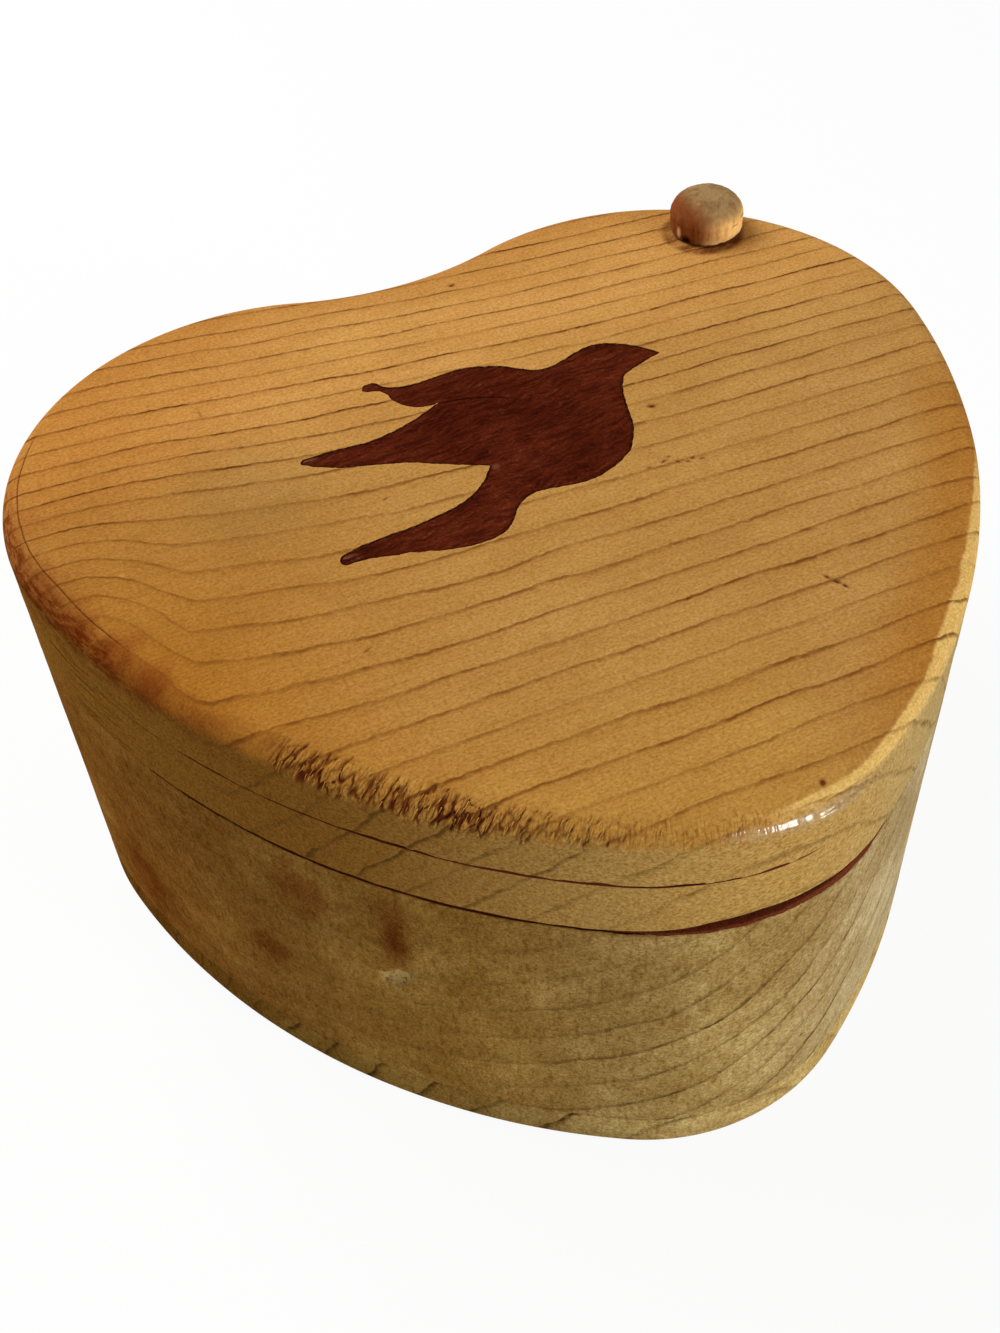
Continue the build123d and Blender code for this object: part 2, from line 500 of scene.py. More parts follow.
def add_ring(vertices, ring):
    """Adds a ring of points and returns their numbers."""
    start = len(vertices)
    vertices.extend(map(tuple, ring))
    return list(range(start, len(vertices)))


def wall(rings):
    """Quads between consecutive rings of vertex numbers."""
    faces = []
    for low, high in zip(rings, rings[1:]):
        for i in range(len(low)):
            j = (i + 1) % len(low)
            faces.append((low[i], low[j], high[j], high[i]))
    return faces


def fan(ring, middle):
    """Triangles from a ring of vertex numbers to one in its middle."""
    return [(a, b, middle) for a, b in zip(ring, ring[1:] + ring[:1])]


def closed_board(name, outside, shafts=(), pockets=(), top=None, bottom=None):
    """A closed board: rings up its outside, shafts right through it, pockets sunk into its top.

    A shaft's and a pocket's rings run downwards. top and bottom hold the points inside those faces and
    the height that each takes.
    """
    vertices = []
    outer, *inner = [[add_ring(vertices, ring) for ring in rings] for rings in (outside, *shafts, *pockets)]
    through = inner[: len(shafts)]
    faces = [face for rings in [outer] + inner for face in wall(rings)]
    faces += cap(vertices, [outer[-1]] + [rings[0] for rings in inner], *(top or ((), None)), True)
    faces += cap(vertices, [outer[0]] + [rings[-1] for rings in through], *(bottom or ((), None)), False)
    faces += [tuple(rings[-1]) for rings in inner[len(shafts) :]]
    return new_piece(name, vertices, faces)


def new_piece(name, vertices, faces, sharp=40.0):
    """A smooth-shaded mesh object whose creases stay crisp."""
    mesh = bpy.data.meshes.new(name)
    mesh.from_pydata([tuple(map(float, v)) for v in vertices], [], faces)
    mesh.update()
    if mesh.validate():
        raise RuntimeError(f"{name} has faulty faces")
    mesh.polygons.foreach_set("use_smooth", [True] * len(mesh.polygons))
    mesh.set_sharp_from_angle(angle=radians(sharp))
    piece = bpy.data.objects.new(name, mesh)
    bpy.context.scene.collection.objects.link(piece)
    return piece


def paint(piece, layer, values, rest=0.0):
    """Keeps a number for each vertex, which the material reads by the layer's name.

    values may be a list of rows. The vertices after the last value take rest.
    """
    full = np.full(len(piece.data.vertices), rest, np.float32)
    values = np.ravel(values)
    full[: len(values)] = values
    piece.data.attributes.new(layer, "FLOAT", "POINT").data.foreach_set("value", full)


def vertices_of(piece):
    """The piece's vertices as rows of x, y and z."""
    flat = np.zeros(len(piece.data.vertices) * 3)
    piece.data.vertices.foreach_get("co", flat)
    return flat.reshape(-1, 3)


def finish_piece(piece, body, slot, material, *nodes):
    """Dresses a piece, seats it on its body and lets it stand for the frame's nodes."""
    piece.data.materials.append(material)
    if nodes:
        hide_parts(*nodes)
    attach(piece, body)


# Materials


class Signal:
    """A number that changes over a surface. Arithmetic on it adds Math nodes."""

    def __init__(self, nodes, socket):
        self.nodes = nodes
        self.socket = socket

    def __add__(self, other):
        return self.nodes.math("ADD", self, other)

    def __sub__(self, other):
        return self.nodes.math("SUBTRACT", self, other)

    def __rsub__(self, other):
        return self.nodes.math("SUBTRACT", other, self)

    def __mul__(self, other):
        return self.nodes.math("MULTIPLY", self, other)

    def __truediv__(self, other):
        return self.nodes.math("DIVIDE", self, other)

    def __pow__(self, other):
        return self.nodes.math("POWER", self, other)

    def at_least(self, low):
        return self.nodes.math("MAXIMUM", self, low)

    def clamped(self):
        return self.nodes.math("MINIMUM", self.at_least(0), 1)

    def eased(self, start, end, low=0, high=1):
        """A smooth change from low at start to high at end."""
        inputs = {"Value": self, "From Min": start, "From Max": end, "To Min": low, "To Max": high}
        return self.nodes.signal("ShaderNodeMapRange", inputs, interpolation_type="SMOOTHSTEP")

    def ramp(self, start, end):
        """A straight rise from 0 at start to 1 at end."""
        return self.nodes.signal("ShaderNodeMapRange", {"Value": self, "From Min": start, "From Max": end})


class Nodes:
    """A node tree that is put together with one call for each node."""

    def __init__(self, tree):
        self.tree = tree
        tree.nodes.clear()

    def put(self, socket, value):
        """Links a signal or an output to a socket, or sets a constant on it."""
        if isinstance(value, Signal):
            value = value.socket
        if isinstance(value, bpy.types.NodeSocket):
            self.tree.links.new(value, socket)
        elif hasattr(value, "__len__") and len(value) == 3 and socket.type == "RGBA":
            socket.default_value = (*value, 1.0)
        else:
            socket.default_value = value

    def node(self, kind, inputs=None, **settings):
        """Adds a node with its settings and inputs."""
        node = self.tree.nodes.new(kind)
        for key, value in settings.items():
            setattr(node, key, value)
        for key, value in (inputs or {}).items():
            self.put(node.inputs[key], value)
        return node

    def signal(self, kind, inputs=None, output=0, **settings):
        """A node's output as a signal."""
        return Signal(self, self.node(kind, inputs, **settings).outputs[output])

    def math(self, operation, *values):
        """A Math node as a signal."""
        return self.signal("ShaderNodeMath", dict(enumerate(values)), operation=operation)

    def mix(self, share, first, second, blend="MIX"):
        """A colour between two others."""
        inputs = {0: share, 6: first, 7: second}
        return self.node("ShaderNodeMix", inputs, data_type="RGBA", blend_type=blend).outputs[2]


class Recipe(Nodes):
    """A material over the frame's axes in millimetres, whose colour builds up layer by layer."""

    def __init__(self, name):
        self.material = bpy.data.materials.new(name)
        self.material.use_nodes = True
        super().__init__(self.material.node_tree)
        self.surface = self.node("ShaderNodeBsdfPrincipled")
        self.node("ShaderNodeOutputMaterial", {"Surface": self.surface.outputs["BSDF"]})
        spot = self.node("ShaderNodeTexCoord").outputs["Object"]
        scaling = {0: spot, "Scale": 1 / mm}
        self.place = self.node("ShaderNodeVectorMath", scaling, operation="SCALE").outputs[0]
        axes = self.node("ShaderNodeSeparateXYZ", {0: self.place})
        self.axes = [Signal(self, axes.outputs[i]) for i in range(3)]
        self.base = None

    def where(self, stretch, place=None):
        """The place, with each axis multiplied if factors are given."""
        place = place or self.place
        if not stretch:
            return place
        return self.node("ShaderNodeVectorMath", {0: place, 1: stretch}, operation="MULTIPLY").outputs[0]

    def cloud(self, scale, detail=2, roughness=0.5, warp=0, stretch=None, place=None):
        """Soft noise from 0 to 1."""
        inputs = {"Scale": scale, "Detail": detail, "Roughness": roughness, "Distortion": warp}
        return self.signal("ShaderNodeTexNoise", {"Vector": self.where(stretch, place), **inputs}, "Fac")

    def chance(self, value):
        """A random number from 0 to 1 for each whole number."""
        return self.signal("ShaderNodeTexWhiteNoise", {"W": value}, "Value", noise_dimensions="1D")

    def layer(self, name):
        """A number kept on the piece's vertices."""
        return self.signal("ShaderNodeAttribute", None, "Fac", attribute_name=name)

    def distance(self, centre, stretch=None):
        """Distance from a point, in millimetres."""
        inputs = {0: self.where(stretch), 1: centre}
        return self.signal("ShaderNodeVectorMath", inputs, "Value", operation="DISTANCE")

    def spot(self, centre, radius, ragged=0.5, stretch=None):
        """1 in the middle of a stain and 0 outside it, with a ragged edge."""
        centre = scaled(centre, *(stretch or (1, 1, 1)))
        fray = (self.cloud(0.35, 3, stretch=stretch) - 0.5) * (2 * ragged * radius)
        return (self.distance(centre, stretch) + fray).eased(radius, radius * 0.25)

    def cover(self, share, colour):
        """Lays a colour over the base colour."""
        self.base = self.mix(share, self.base, colour)

    def tint(self, share, factors):
        """Multiplies the base colour."""
        self.base = self.mix(share, self.base, factors, "MULTIPLY")

    def mottled(self, noise, start, end, share, factors):
        """Multiplies the base colour where a noise runs from start to end."""
        self.tint(noise.eased(start, end) * share, factors)

    def finish(self, height, depth, strength=1, **sockets):
        """Gives the surface its colour, its fine relief and its other sockets, and returns the material."""
        inputs = {"Height": height, "Distance": depth, "Strength": strength}
        self.put(self.surface.inputs["Normal"], self.node("ShaderNodeBump", inputs).outputs["Normal"])
        for key, value in dict(sockets, Base_Color=self.base).items():
            self.put(self.surface.inputs[key.replace("_", " ")], value)
        return self.material


def growth_lines(wood, phase, width):
    """How dark the growth lines are at each point, and how far each ring has ripened towards its line."""
    share = wood.math("FRACT", phase)
    rank = wood.chance(wood.math("FLOOR", phase)) * 0.5 + 0.5
    core = share.eased(1 - 2.7 * width, 1 - 0.9 * width) * share.eased(1, 1 - 0.7 * width)
    soft = share.eased(1 - 7 * width, 1 - width) * share.eased(1, 1 - 0.4 * width)
    ripe = share.eased(0.3, 0.95) * 0.4 + soft * 0.6
    patchy = wood.cloud(1, 1, stretch=(0.12, 0.3, 0.3)).eased(0.34, 0.6, 0.45, 1)
    dashes = wood.cloud(1, 2, stretch=(0.6, 0.9, 0.9)).eased(0.36, 0.54, 0.6, 1)
    return core * (rank * patchy * dashes), ripe * rank


def wandering(wood):
    """How far a growth line strays from its smooth course, in millimetres."""
    slow = (wood.cloud(1, 1, stretch=(0.08, 0.2, 0.2)) - 0.5) * 1.6
    quick = (wood.cloud(1, 2, stretch=(0.9, 0.45, 0.45)) - 0.5) * 0.55
    return slow + quick


def add_flecks(wood, strength):
    """Tints the wood with fine sanded flecks, lighter and darker, and returns the flecks' height."""
    fine = wood.cloud(3, 2, 0.7, stretch=(0.75, 1, 1))
    coarse = wood.cloud(0.9, 3, 0.62)
    for flecks, end, share, factors in (
        (coarse, 0.7, 0.26, (1.22, 1.3, 1.48)),
        (coarse, 0.32, 0.26, (0.72, 0.62, 0.46)),
        (fine, 0.66, 0.7, (1.3, 1.38, 1.6)),
        (fine, 0.34, 0.7, (0.66, 0.56, 0.42)),
    ):
        wood.tint(flecks.eased(0.5, end) * (strength * share), factors)
    return fine


def scaled(colour, red, green, blue):
    """The colour with each part multiplied."""
    return (colour[0] * red, colour[1] * green, colour[2] * blue)


def varnished(wood, height, depth, roughness, gloss):
    """Thin satin varnish over the wood."""
    coat = {"Coat_Weight": gloss, "Coat_Roughness": 0.21}
    return wood.finish(height, depth, 0.9, Roughness=roughness, Specular_IOR_Level=0, **coat)


def lid_phase(wood):
    """Rings gone by at each point of the lid, whose lines bend round a knot beyond its left edge."""
    woods = bpy.context.scene.heart_box_woods
    x, y, z = wood.axes
    back_rise = x.eased(25, -45, 0, 4) * y.eased(-20, 25)
    sag = x.ramp(-18, -47) ** 1.8 * y.eased(-32, -8, 0, 4) * y.eased(40, 10, 0.45, 1)
    kink = y.eased(5, -20, -45.4, -49.1)
    beyond = (kink - x).at_least(0)
    climb = ((wood.math("SQRT", beyond * beyond + 9) - 3) / 9).clamped()
    knot_rise = climb * (1.3 - climb * 0.3) * y.eased(29, -4, 0, 11.8)
    across = y + x * (y * 0.0007 + 0.035) - back_rise - sag - knot_rise + (z - lid_high.z / mm) * 0.58
    closer = (across - 11.3).at_least(0) * 0.17
    return (across + closer + wandering(wood) + 57.4) / (woods.ring_spacing / mm)


def lid_wood(name):
    """Varnished lid board with thin dark growth lines along X."""
    woods = bpy.context.scene.heart_box_woods
    wood = Recipe(name)
    x, y, z = wood.axes
    line, ripe = growth_lines(wood, lid_phase(wood), 0.068)
    over, pale, bare, shade_and_grime, torn, shine, along = map(
        wood.layer, ("over", "pale", "bare", "shade_and_grime", "torn", "gloss", "along")
    )
    frayed = over + (wood.cloud(0.45, 3) - 0.5) * 2.4
    side = frayed.eased(3.6, 5.4)
    colour = woods.lid_colour[:]
    wood.base = scaled(colour, 0.82, 0.61, 0.25)
    wood.cover(y.eased(-22, 22), scaled(colour, 0.82, 0.69, 0.52))
    wood.cover(x.eased(-62, -8), colour)
    wood.tint(y.eased(-26, -50) * x.eased(16, 2), (1.03, 1.03, 0.86))
    wood.tint(x.eased(14, 46) * y.eased(28, 10), (1.03, 1.06, 1.12))
    wood.tint(y.eased(8, 36), (1.22, 1.18, 1.2))
    wood.tint(y.eased(40, 56), (0.9, 0.84, 0.76))
    drifts = wood.cloud(0.1, 3, 0.55, stretch=(0.6, 1, 1))
    wood.mottled(drifts, 0.38, 0.64, 0.45, (0.84, 0.78, 0.68))
    olive = wood.spot((-35, 15, 66), 15, 0.4)
    wood.tint(olive * 0.6, (0.82, 0.92, 1.05))
    burnt = over.eased(-8, 0.6) * x.eased(4, 26) * y.eased(12, -14)
    wood.tint(burnt * 0.9, (0.86, 0.68, 0.42))
    wood.tint(ripe * 0.32, (0.76, 0.62, 0.44))
    streaks = wood.cloud(1, 3, 0.6, stretch=(0.11, 1.9, 1.9))
    wood.mottled(streaks, 0.42, 0.7, 0.32, (0.74, 0.64, 0.5))
    shade = wood.mix(x.eased(-46, -12), (0.265, 0.115, 0.018), (0.44, 0.258, 0.07))
    shade = wood.mix(x.eased(-2, 30), shade, (0.405, 0.28, 0.108))
    wood.cover(side, shade)
    cream = wood.mix(over.eased(3.2, 5.8), (0.76, 0.48, 0.14), (0.58, 0.39, 0.14))
    wood.cover(pale * 0.9, cream)
    wood.cover(bare * 0.75, (0.54, 0.262, 0.05))
    mottle = wood.cloud(0.5, 4, 0.68, stretch=(0.5, 1, 1)).eased(0.34, 0.64, 0.35, 1)
    soft = wood.cloud(0.35, 3, 0.55, stretch=(0.6, 1, 1)).eased(0.3, 0.66, 0.55, 1)
    left_edge = x.eased(-38, -57) * y.eased(-30, -12) * y.eased(40, 22)
    rim = frayed.eased(0.2, 3.2) * frayed.eased(6.4, 4.2) * left_edge
    wood.tint(rim * soft * 0.8, (0.68, 0.48, 0.5))
    far = frayed.eased(1.2, 2.8) * frayed.eased(6, 5)
    far = far * x.eased(-54, -59) * y.eased(-16, -2) * y.eased(38, 24)
    scratched = wood.cloud(1, 3, 0.6, stretch=(0.5, 0.5, 2.6)).eased(0.42, 0.58)
    wood.tint(far * scratched * 0.8, (0.5, 0.26, 0.22))
    for centre, radius, depth in left_stains:
        stain = wood.spot(centre, radius * 1.3, 0.7) * soft
        wood.tint(stain * depth * 0.62, (0.66, 0.42, 0.48))
    # Painted shadow on the lid round the peg's head, reaching furthest out on its left, mottled
    painted_shadow_by_peg = wood.distance((45.8, 42.7, 66.4)).eased(6.7, 5.6) * mottle
    wood.tint(painted_shadow_by_peg * 0.9, (0.26, 0.1, 0.08))
    grey = x.eased(-55, -61) * over.eased(5, 6) * y.eased(14, 2)
    ridges = wood.cloud(1, 2, stretch=(0.2, 0.2, 2.4))
    wood.tint(grey * ridges.eased(0.52, 0.38) * 0.6, (0.42, 0.34, 0.3))
    flecks = add_flecks(wood, side * 0.4 + 0.72)
    region = y.eased(8, 30, 0.98, 1.15) + side * 0.1
    faded = wood.spot((-36, 9, 66), 14, 0.4) + wood.spot((-52, -6, 66), 15, 0.4)
    line = (line * region * (1 - faded.clamped() * 0.5)).clamped()
    line = line * (1 - side * x.eased(-46, -54) * 0.85) * (1 - side * 0.25)
    ink = woods.lid_line_colour[:]
    ink = wood.mix(y.eased(0, 26), ink, scaled(ink, 0.64, 0.58, 0.7))
    ink = wood.mix(side, ink, (0.08, 0.038, 0.008))
    wood.cover(line, ink)
    combed = wood.node("ShaderNodeCombineXYZ", {0: along * 3.4, 1: over * 0.45}).outputs[0]
    hairs = wood.cloud(1, 2, 0.6, place=combed)
    # Painted shade between the torn ribs and painted highlight on their crests, following the ribs' relief
    wood.tint(hairs.eased(0.48, 0.36) * torn * 0.5, (0.5, 0.3, 0.18))
    wood.tint(hairs.eased(0.54, 0.68) * torn * 0.6, (1.14, 1.12, 1.06))
    # Painted shade, with some grime, in the torn grain's valleys, the score, the dents and the pin hole,
    # and dark maroon on the faces of the open glue joint
    wood.cover(shade_and_grime.ramp(0, 0.6), (0.135, 0.03, 0.008))
    wood.cover(shade_and_grime.ramp(0.65, 0.95), (0.15, 0.028, 0.014))
    height = (line * -0.35 + streaks * 0.25 + flecks * 0.6 + hairs * torn * 0.8) * (1 - shine * 0.75)
    roughness = wood.cloud(0.4, 3).eased(0.3, 0.7, 0.36, 0.5) + bare * 0.08
    gloss = shine + x.eased(-40, 0, 0, 0.015) * (1 - side)
    return varnished(wood, height, 0.075 * mm, roughness, gloss)


# Red-brown stains on the lid's left edge: centre, radius and strength, in millimetres
left_stains = (
    ((-55.4, -10.4, 65.2), 4.6, 0.95),
    ((-58.0, -4.0, 65.4), 4.2, 0.85),
    ((-60.6, 2.4, 64.4), 4.0, 0.9),
    ((-52.0, -17.0, 64.4), 3.4, 0.7),
    ((-55.8, -3.6, 66.4), 3.2, 0.45),
    ((-62.6, 9.0, 64.4), 4.5, 0.8),
    ((-61.5, 22.0, 64.8), 4.0, 0.6),
    ((-64.2, 14.0, 63.4), 5.0, 0.9),
    ((-49.0, -20.6, 64.2), 3.6, 0.6),
)


# Base board and body ring


def build_base_board():
    """Base board with eased edges."""
    along = edge_steps(0.9 * mm)
    points, outward = heart_edge(along)
    ring = partial(edge_ring, points, outward)
    worn = sanded(points, 11)
    radius = base_edge_radius
    turns = np.linspace(0, pi / 2, 7)
    rings = [ring(radius * (1 - sin(turn)) + worn, base_low.z + radius * (1 - cos(turn))) for turn in turns]
    for share in (0.3, 0.5, 0.7, 0.85):
        rings.append(ring(worn, base_low.z + radius + share * (base_high.z - base_low.z - radius)))
    joint_gap = 0.05 * mm * (1 + lumps(along, 6 * mm, 12))
    rings.append(ring(worn, base_high.z - 0.1 * mm - joint_gap))
    rings.append(ring(worn + 0.12 * mm, base_high.z))
    piece = closed_board("base_board_wood", rings)
    finish_piece(piece, "box", "base_wood", body_wood("base wood", "base"), "base_board")


def build_body_ring():
    """Sawn ring with its torn dent, chipped rim and peg seat."""
    along = edge_steps(0.8 * mm, 0.35 * mm, (-58 * mm, 16 * mm))
    points, outward = heart_edge(along)
    ring = partial(edge_ring, points, outward)
    lip = ring_lip(along)
    rings, bare = [], []
    sides = np.linspace(ring_low.z + 1 * mm, ring_high.z - 1.2 * mm, 52)
    for height in (ring_low.z, ring_low.z + 0.15 * mm, *sides, ring_high.z - 0.8 * mm):
        torn = ding_at(along, height)
        lifted = height + lip * ease(height, ring_high.z - 6 * mm, ring_high.z - 1 * mm)
        rings.append(ring(ring_wear(points, height) + ding_depth * torn, lifted))
        bare.append(torn)
    rings[0][:, :2] -= outward * 0.12 * mm
    chips = ring_edge_radius * (1 + 0.8 * np.clip(lumps(along, 2.2 * mm, 21), -0.6, 1))
    chips *= (1 - 0.9 * closed_seam(along)) * (1 - 0.6 * ease(along / mm, -8, -22))
    pale_edge = within(along / mm, -2, 0, 3, 6)
    for turn in np.linspace(0, pi / 2, 5)[1:]:
        inset = chips * (1 - cos(turn)) + ring_wear(points, ring_high.z)
        rings.append(ring(inset, ring_high.z + lip - chips * (1 - sin(turn))))
        bare.append(pale_edge * min(1, turn))
    rings.append(ring(chips + 0.1 * mm + 0.9 * mm * ease(-lip, 0, 0.2 * mm), ring_high.z))
    bare.append(pale_edge * 0.2)
    # Painted shade on the rim's flat top just inside its outer edge, under the lid's seam; half as much at
    # the pale chip by the tip
    shade_and_grime = [0 * along] * (len(rings) - 2) + [0.35 * (1 - pale_edge), 1 - 0.5 * pale_edge]
    hollow = outlines("body_ring", ring_low.z, 0.9 * mm)[1]
    shaft = [at_height(hollow, ring_high.z), at_height(hollow, ring_low.z)]
    pocket = circle_rings(ring_hole_radius, (ring_high.z, peg_low.z))
    piece = closed_board("body_ring_wood", rings, [shaft], [pocket])
    paint(piece, "bare", bare)
    paint(piece, "shade_and_grime", shade_and_grime)
    finish_piece(piece, "box", "body_wood", body_wood("ring wood", "ring"), "body_ring")


# The torn dent on the front left of the ring: its middle and its half sizes along and up
ding_along = -45.2 * mm
ding_height = 29.5 * mm
ding_half_length = 3.0
ding_half_height = 1.4
ding_depth = 0.55 * mm


def ding_at(along, height):
    """How deep in the torn dent each point is, from 0 to 1."""
    aside = (along - ding_along) / mm
    up = (height - ding_height) / mm
    lengthwise = (aside * 0.78 + up * 0.62) / ding_half_length
    crosswise = (up * 0.78 - aside * 0.62) / ding_half_height
    return ease(np.hypot(lengthwise, crosswise) + 0.35 * lumps((aside, up), 0.9, 31), 1.1, 0.7)


def closed_seam(along):
    """Where on the left lobe the ring reaches almost up to the lid, from 0 to 1."""
    return within(along / mm, -190, -170, -84, -74)


def ring_lip(along):
    """How far hand sanding left the ring's outer edge above its flat rim, or took it below at the front."""
    steps = (-200, -72, -24, -20, -12, -6, -1, 5, 10, 14, 18, 22, 60, 90, 200)
    rises = (0.2, 0.44, 0.48, 0.46, 0.28, 0.22, 0, -0.4, -0.8, -0.55, -0.1, 0.3, 0.32, 0.42, 0.42)
    lip = course(along, steps, rises) + 0.05 * mm * lumps(along, 4 * mm, 24)
    return lip + (0.85 * mm - lip) * closed_seam(along)


def ring_wear(points, height):
    """How far the ring's outside lies below the true wall at a height."""
    return sanded(at_height(points, height), 22, 2) + fuzz(points, height, 23)


def body_wood(name, part):
    """Olive-brown varnished wood of the box's sides."""
    woods = bpy.context.scene.heart_box_woods
    wood = Recipe(name)
    x, y, z = wood.axes
    colour = woods.body_colour[:]
    if part == "ring":
        across = wood.distance((-60, 0, 100), (1, 0.06, 1))
        spacing = woods.body_ring_spacing / mm
        shown = x.eased(-36, -6, 0.1, 1) * x.eased(8, 24, 1, 0.5) * z.eased(28, 46, 1, 0.45)
        stretch = (1.6, 0.14, 1.6)
        wood.base = scaled(colour, 0.7, 0.45, 0.25)
        wood.cover(x.eased(-66, -30), scaled(colour, 0.87, 0.72, 0.5))
        wood.cover(x.eased(-33, -12), colour)
        wood.cover(x.eased(-6, 32), scaled(colour, 1.1, 1.2, 1.5))
        wood.cover(x.eased(-6, 32) * y.eased(0, -26), scaled(colour, 1.11, 1.29, 2.05))
        wood.tint(z.eased(40, 22), (1.14, 1.18, 1.22))
    else:
        across = y + x * 0.12 + z * 0.42
        spacing = woods.ring_spacing / mm * 1.1
        shown = x.eased(20, -10, 0.35, 1.3)
        stretch = (0.14, 1.6, 1.6)
        wood.base = scaled(colour, 0.46, 0.27, 0.09)
        wood.cover(x.eased(-66, -42), scaled(colour, 0.84, 0.74, 0.5))
        wood.cover(x.eased(-42, -4), scaled(colour, 1.55, 1.72, 2))
    line, ripe = growth_lines(wood, (across + wandering(wood)) / spacing, 0.07)
    drifts = wood.cloud(0.09, 3, 0.6)
    wood.mottled(drifts, 0.36, 0.64, 0.7, (0.74, 0.66, 0.54))
    wood.mottled(drifts, 0.5, 0.34, 0.5, (1.14, 1.18, 1.26))
    wood.tint(ripe * 0.3, (0.72, 0.62, 0.48))
    streaks = wood.cloud(1, 3, 0.6, stretch=stretch)
    calm = x.eased(-10, 30, 1, 0.55)
    wood.tint(streaks.eased(0.44, 0.68) * calm * 0.45, (0.66, 0.56, 0.42))
    blotches = wood.cloud(0.3, 4, 0.7)
    wood.tint(blotches.eased(0.52, 0.68) * calm * 0.45, (0.72, 0.6, 0.46))
    wood.mottled(blotches, 0.46, 0.32, 0.5, (1.16, 1.22, 1.32))
    if part == "ring":
        for centre, radius, share in body_stains:
            wood.tint(wood.spot(centre, radius, 0.55, (1, 1, share)) * 0.9, (0.7, 0.5, 0.42))
    uprights = wood.cloud(1.5, 3, 0.65, stretch=(1, 1, 0.3))
    wood.tint(uprights.eased(0.48, 0.33) * calm * 0.6, (0.6, 0.5, 0.38))
    wood.tint(uprights.eased(0.54, 0.7) * calm * 0.5, (1.24, 1.3, 1.42))
    flecks = add_flecks(wood, 1.1)
    wood.cover((line * shown).clamped(), woods.body_line_colour[:])
    if part == "ring":
        for centre, radius in body_pits:
            wood.cover(wood.spot(centre, radius, 0.4) * 0.85, (0.05, 0.012, 0.005))
        dust = wood.cloud(1.9, 2, 0.6).eased(0.52, 0.64)
        wood.cover(wood.layer("bare") * 0.85, wood.mix(dust, (0.58, 0.4, 0.145), (0.2, 0.11, 0.03)))
        # Painted shade on the rim's top under the lid's seam
        wood.cover(wood.layer("shade_and_grime"), (0.23, 0.04, 0.018))
    height = line * -0.5 + streaks * 0.35 + flecks * 0.8 + uprights * 0.5
    roughness = wood.cloud(0.4, 3).eased(0.3, 0.7, 0.42, 0.58)
    return varnished(wood, height, 0.09 * mm, roughness, x.eased(-40, 0, 0, 0.02))


# Dark pits in the ring's front: centre and radius
body_pits = (((-54.4, -8.6, 43.2), 0.75), ((7.4, -57.1, 15.5), 0.5), ((-31.0, -41.5, 21.0), 1.0))

# Brown stains on the ring's left front: centre, radius and how much they are drawn out upwards
body_stains = (
    ((-45.8, -26.8, 40.5), 5.6, 0.8),
    ((-38.0, -36.2, 40.5), 3.2, 0.27),
    ((-37.6, -36.6, 37.0), 2.6, 0.5),
    ((-49.5, -20.5, 24.0), 5.0, 0.9),
    ((-62.0, 4.0, 14.0), 9.0, 0.8),
)


# Felt lining


def felt_material(name):
    """Short red-brown felt with a soft nap."""
    felt = Recipe(name)
    colour = bpy.context.scene.heart_box_felt.colour[:]
    tufts = felt.cloud(3.2, 5, 0.7, 0.6)
    hairs = felt.cloud(2.4, 4, 0.7, 1.2, (1, 3.5, 1))
    worn = felt.cloud(0.06, 3)
    felt.base = scaled(colour, 0.55, 0.5, 0.5)
    felt.cover(tufts.eased(0.3, 0.7), scaled(colour, 1.25, 1.3, 1.3))
    felt.cover(hairs.eased(0.6, 0.74) * 0.5, scaled(colour, 1.7, 2.2, 2.4))
    felt.cover(worn.eased(0.5, 0.75) * 0.3, scaled(colour, 0.8, 1.2, 1.3))
    sheen = {"Sheen_Weight": 0.05, "Sheen_Roughness": 0.5, "Sheen_Tint": (0.5, 0.14, 0.1)}
    height = tufts * 0.6 + hairs * 0.6
    return felt.finish(height, 0.22 * mm, Roughness=0.95, Specular_IOR_Level=0.01, **sheen)


def build_felt_lining():
    """Felt on the wall, the floor and the rim of the hollow."""
    nap = bpy.context.scene.heart_box_felt.nap_depth
    material = felt_material("red felt")
    build_wall_felt(nap, material)
    build_floor_felt(nap, material)
    build_rim_felt(nap, material)


def nap_at(spots, nap, size, seed):
    """How far the felt's nap stands from its true face at each point."""
    return nap * (0.5 + 0.5 * lumps(spots, size, seed))


def build_wall_felt(nap, material):
    """Strip of felt round the inside of the ring, butted at the notch."""
    outer, inner = outlines("wall_felt", ring_low.z, 1.1 * mm)
    heights = np.linspace(ring_high.z, ring_low.z, 34)
    seam_half_width = 1.2 * mm
    seam = (np.abs(inner[:, 0]) < seam_half_width) & (inner[:, 1] > 0)
    shaft = []
    for height in heights:
        rise = nap_at(at_height(inner, height), nap, 3 * mm, 41)
        rise[seam] += 0.45 * mm * (1 - np.abs(inner[seam, 0]) / seam_half_width)
        shaft.append(edge_ring(inner, loop_outward(inner), -rise, height))
    outside = [at_height(outer, ring_low.z), at_height(outer, ring_high.z)]
    piece = closed_board("wall_felt_strip", outside, [shaft])
    finish_piece(piece, "box", "felt", material, "wall_felt")
    flat = (ring_high.z - ring_low.z, length_of(outer))


def build_floor_felt(nap, material):
    """Felt laid on the base board inside the hollow."""
    low, high = floor_felt_low.z, floor_felt_high.z
    loop = outlines("floor_felt", low, 1 * mm)[0]
    outward = loop_outward(loop)
    fray = 0.08 * mm * (1 + lumps(loop, 1.5 * mm, 43))
    steps = ((0, low), (0, high - 0.35 * mm), (0.15 * mm, high - 0.1 * mm), (0.5 * mm, high))
    rings = [edge_ring(loop, outward, fray + inset, height) for inset, height in steps]
    points = spread_points(rings[-1][:, :2], [], 1.25 * mm)
    top = (points, lambda spots: high - nap_at(spots, nap, 2.4 * mm, 44))
    piece = closed_board("floor_felt_sheet", rings, top=top)
    finish_piece(piece, "box", "felt", material, "floor_felt")
    width, length = map(float, loop.max(axis=0) - loop.min(axis=0))
    area = abs(turning(loop)) / 2


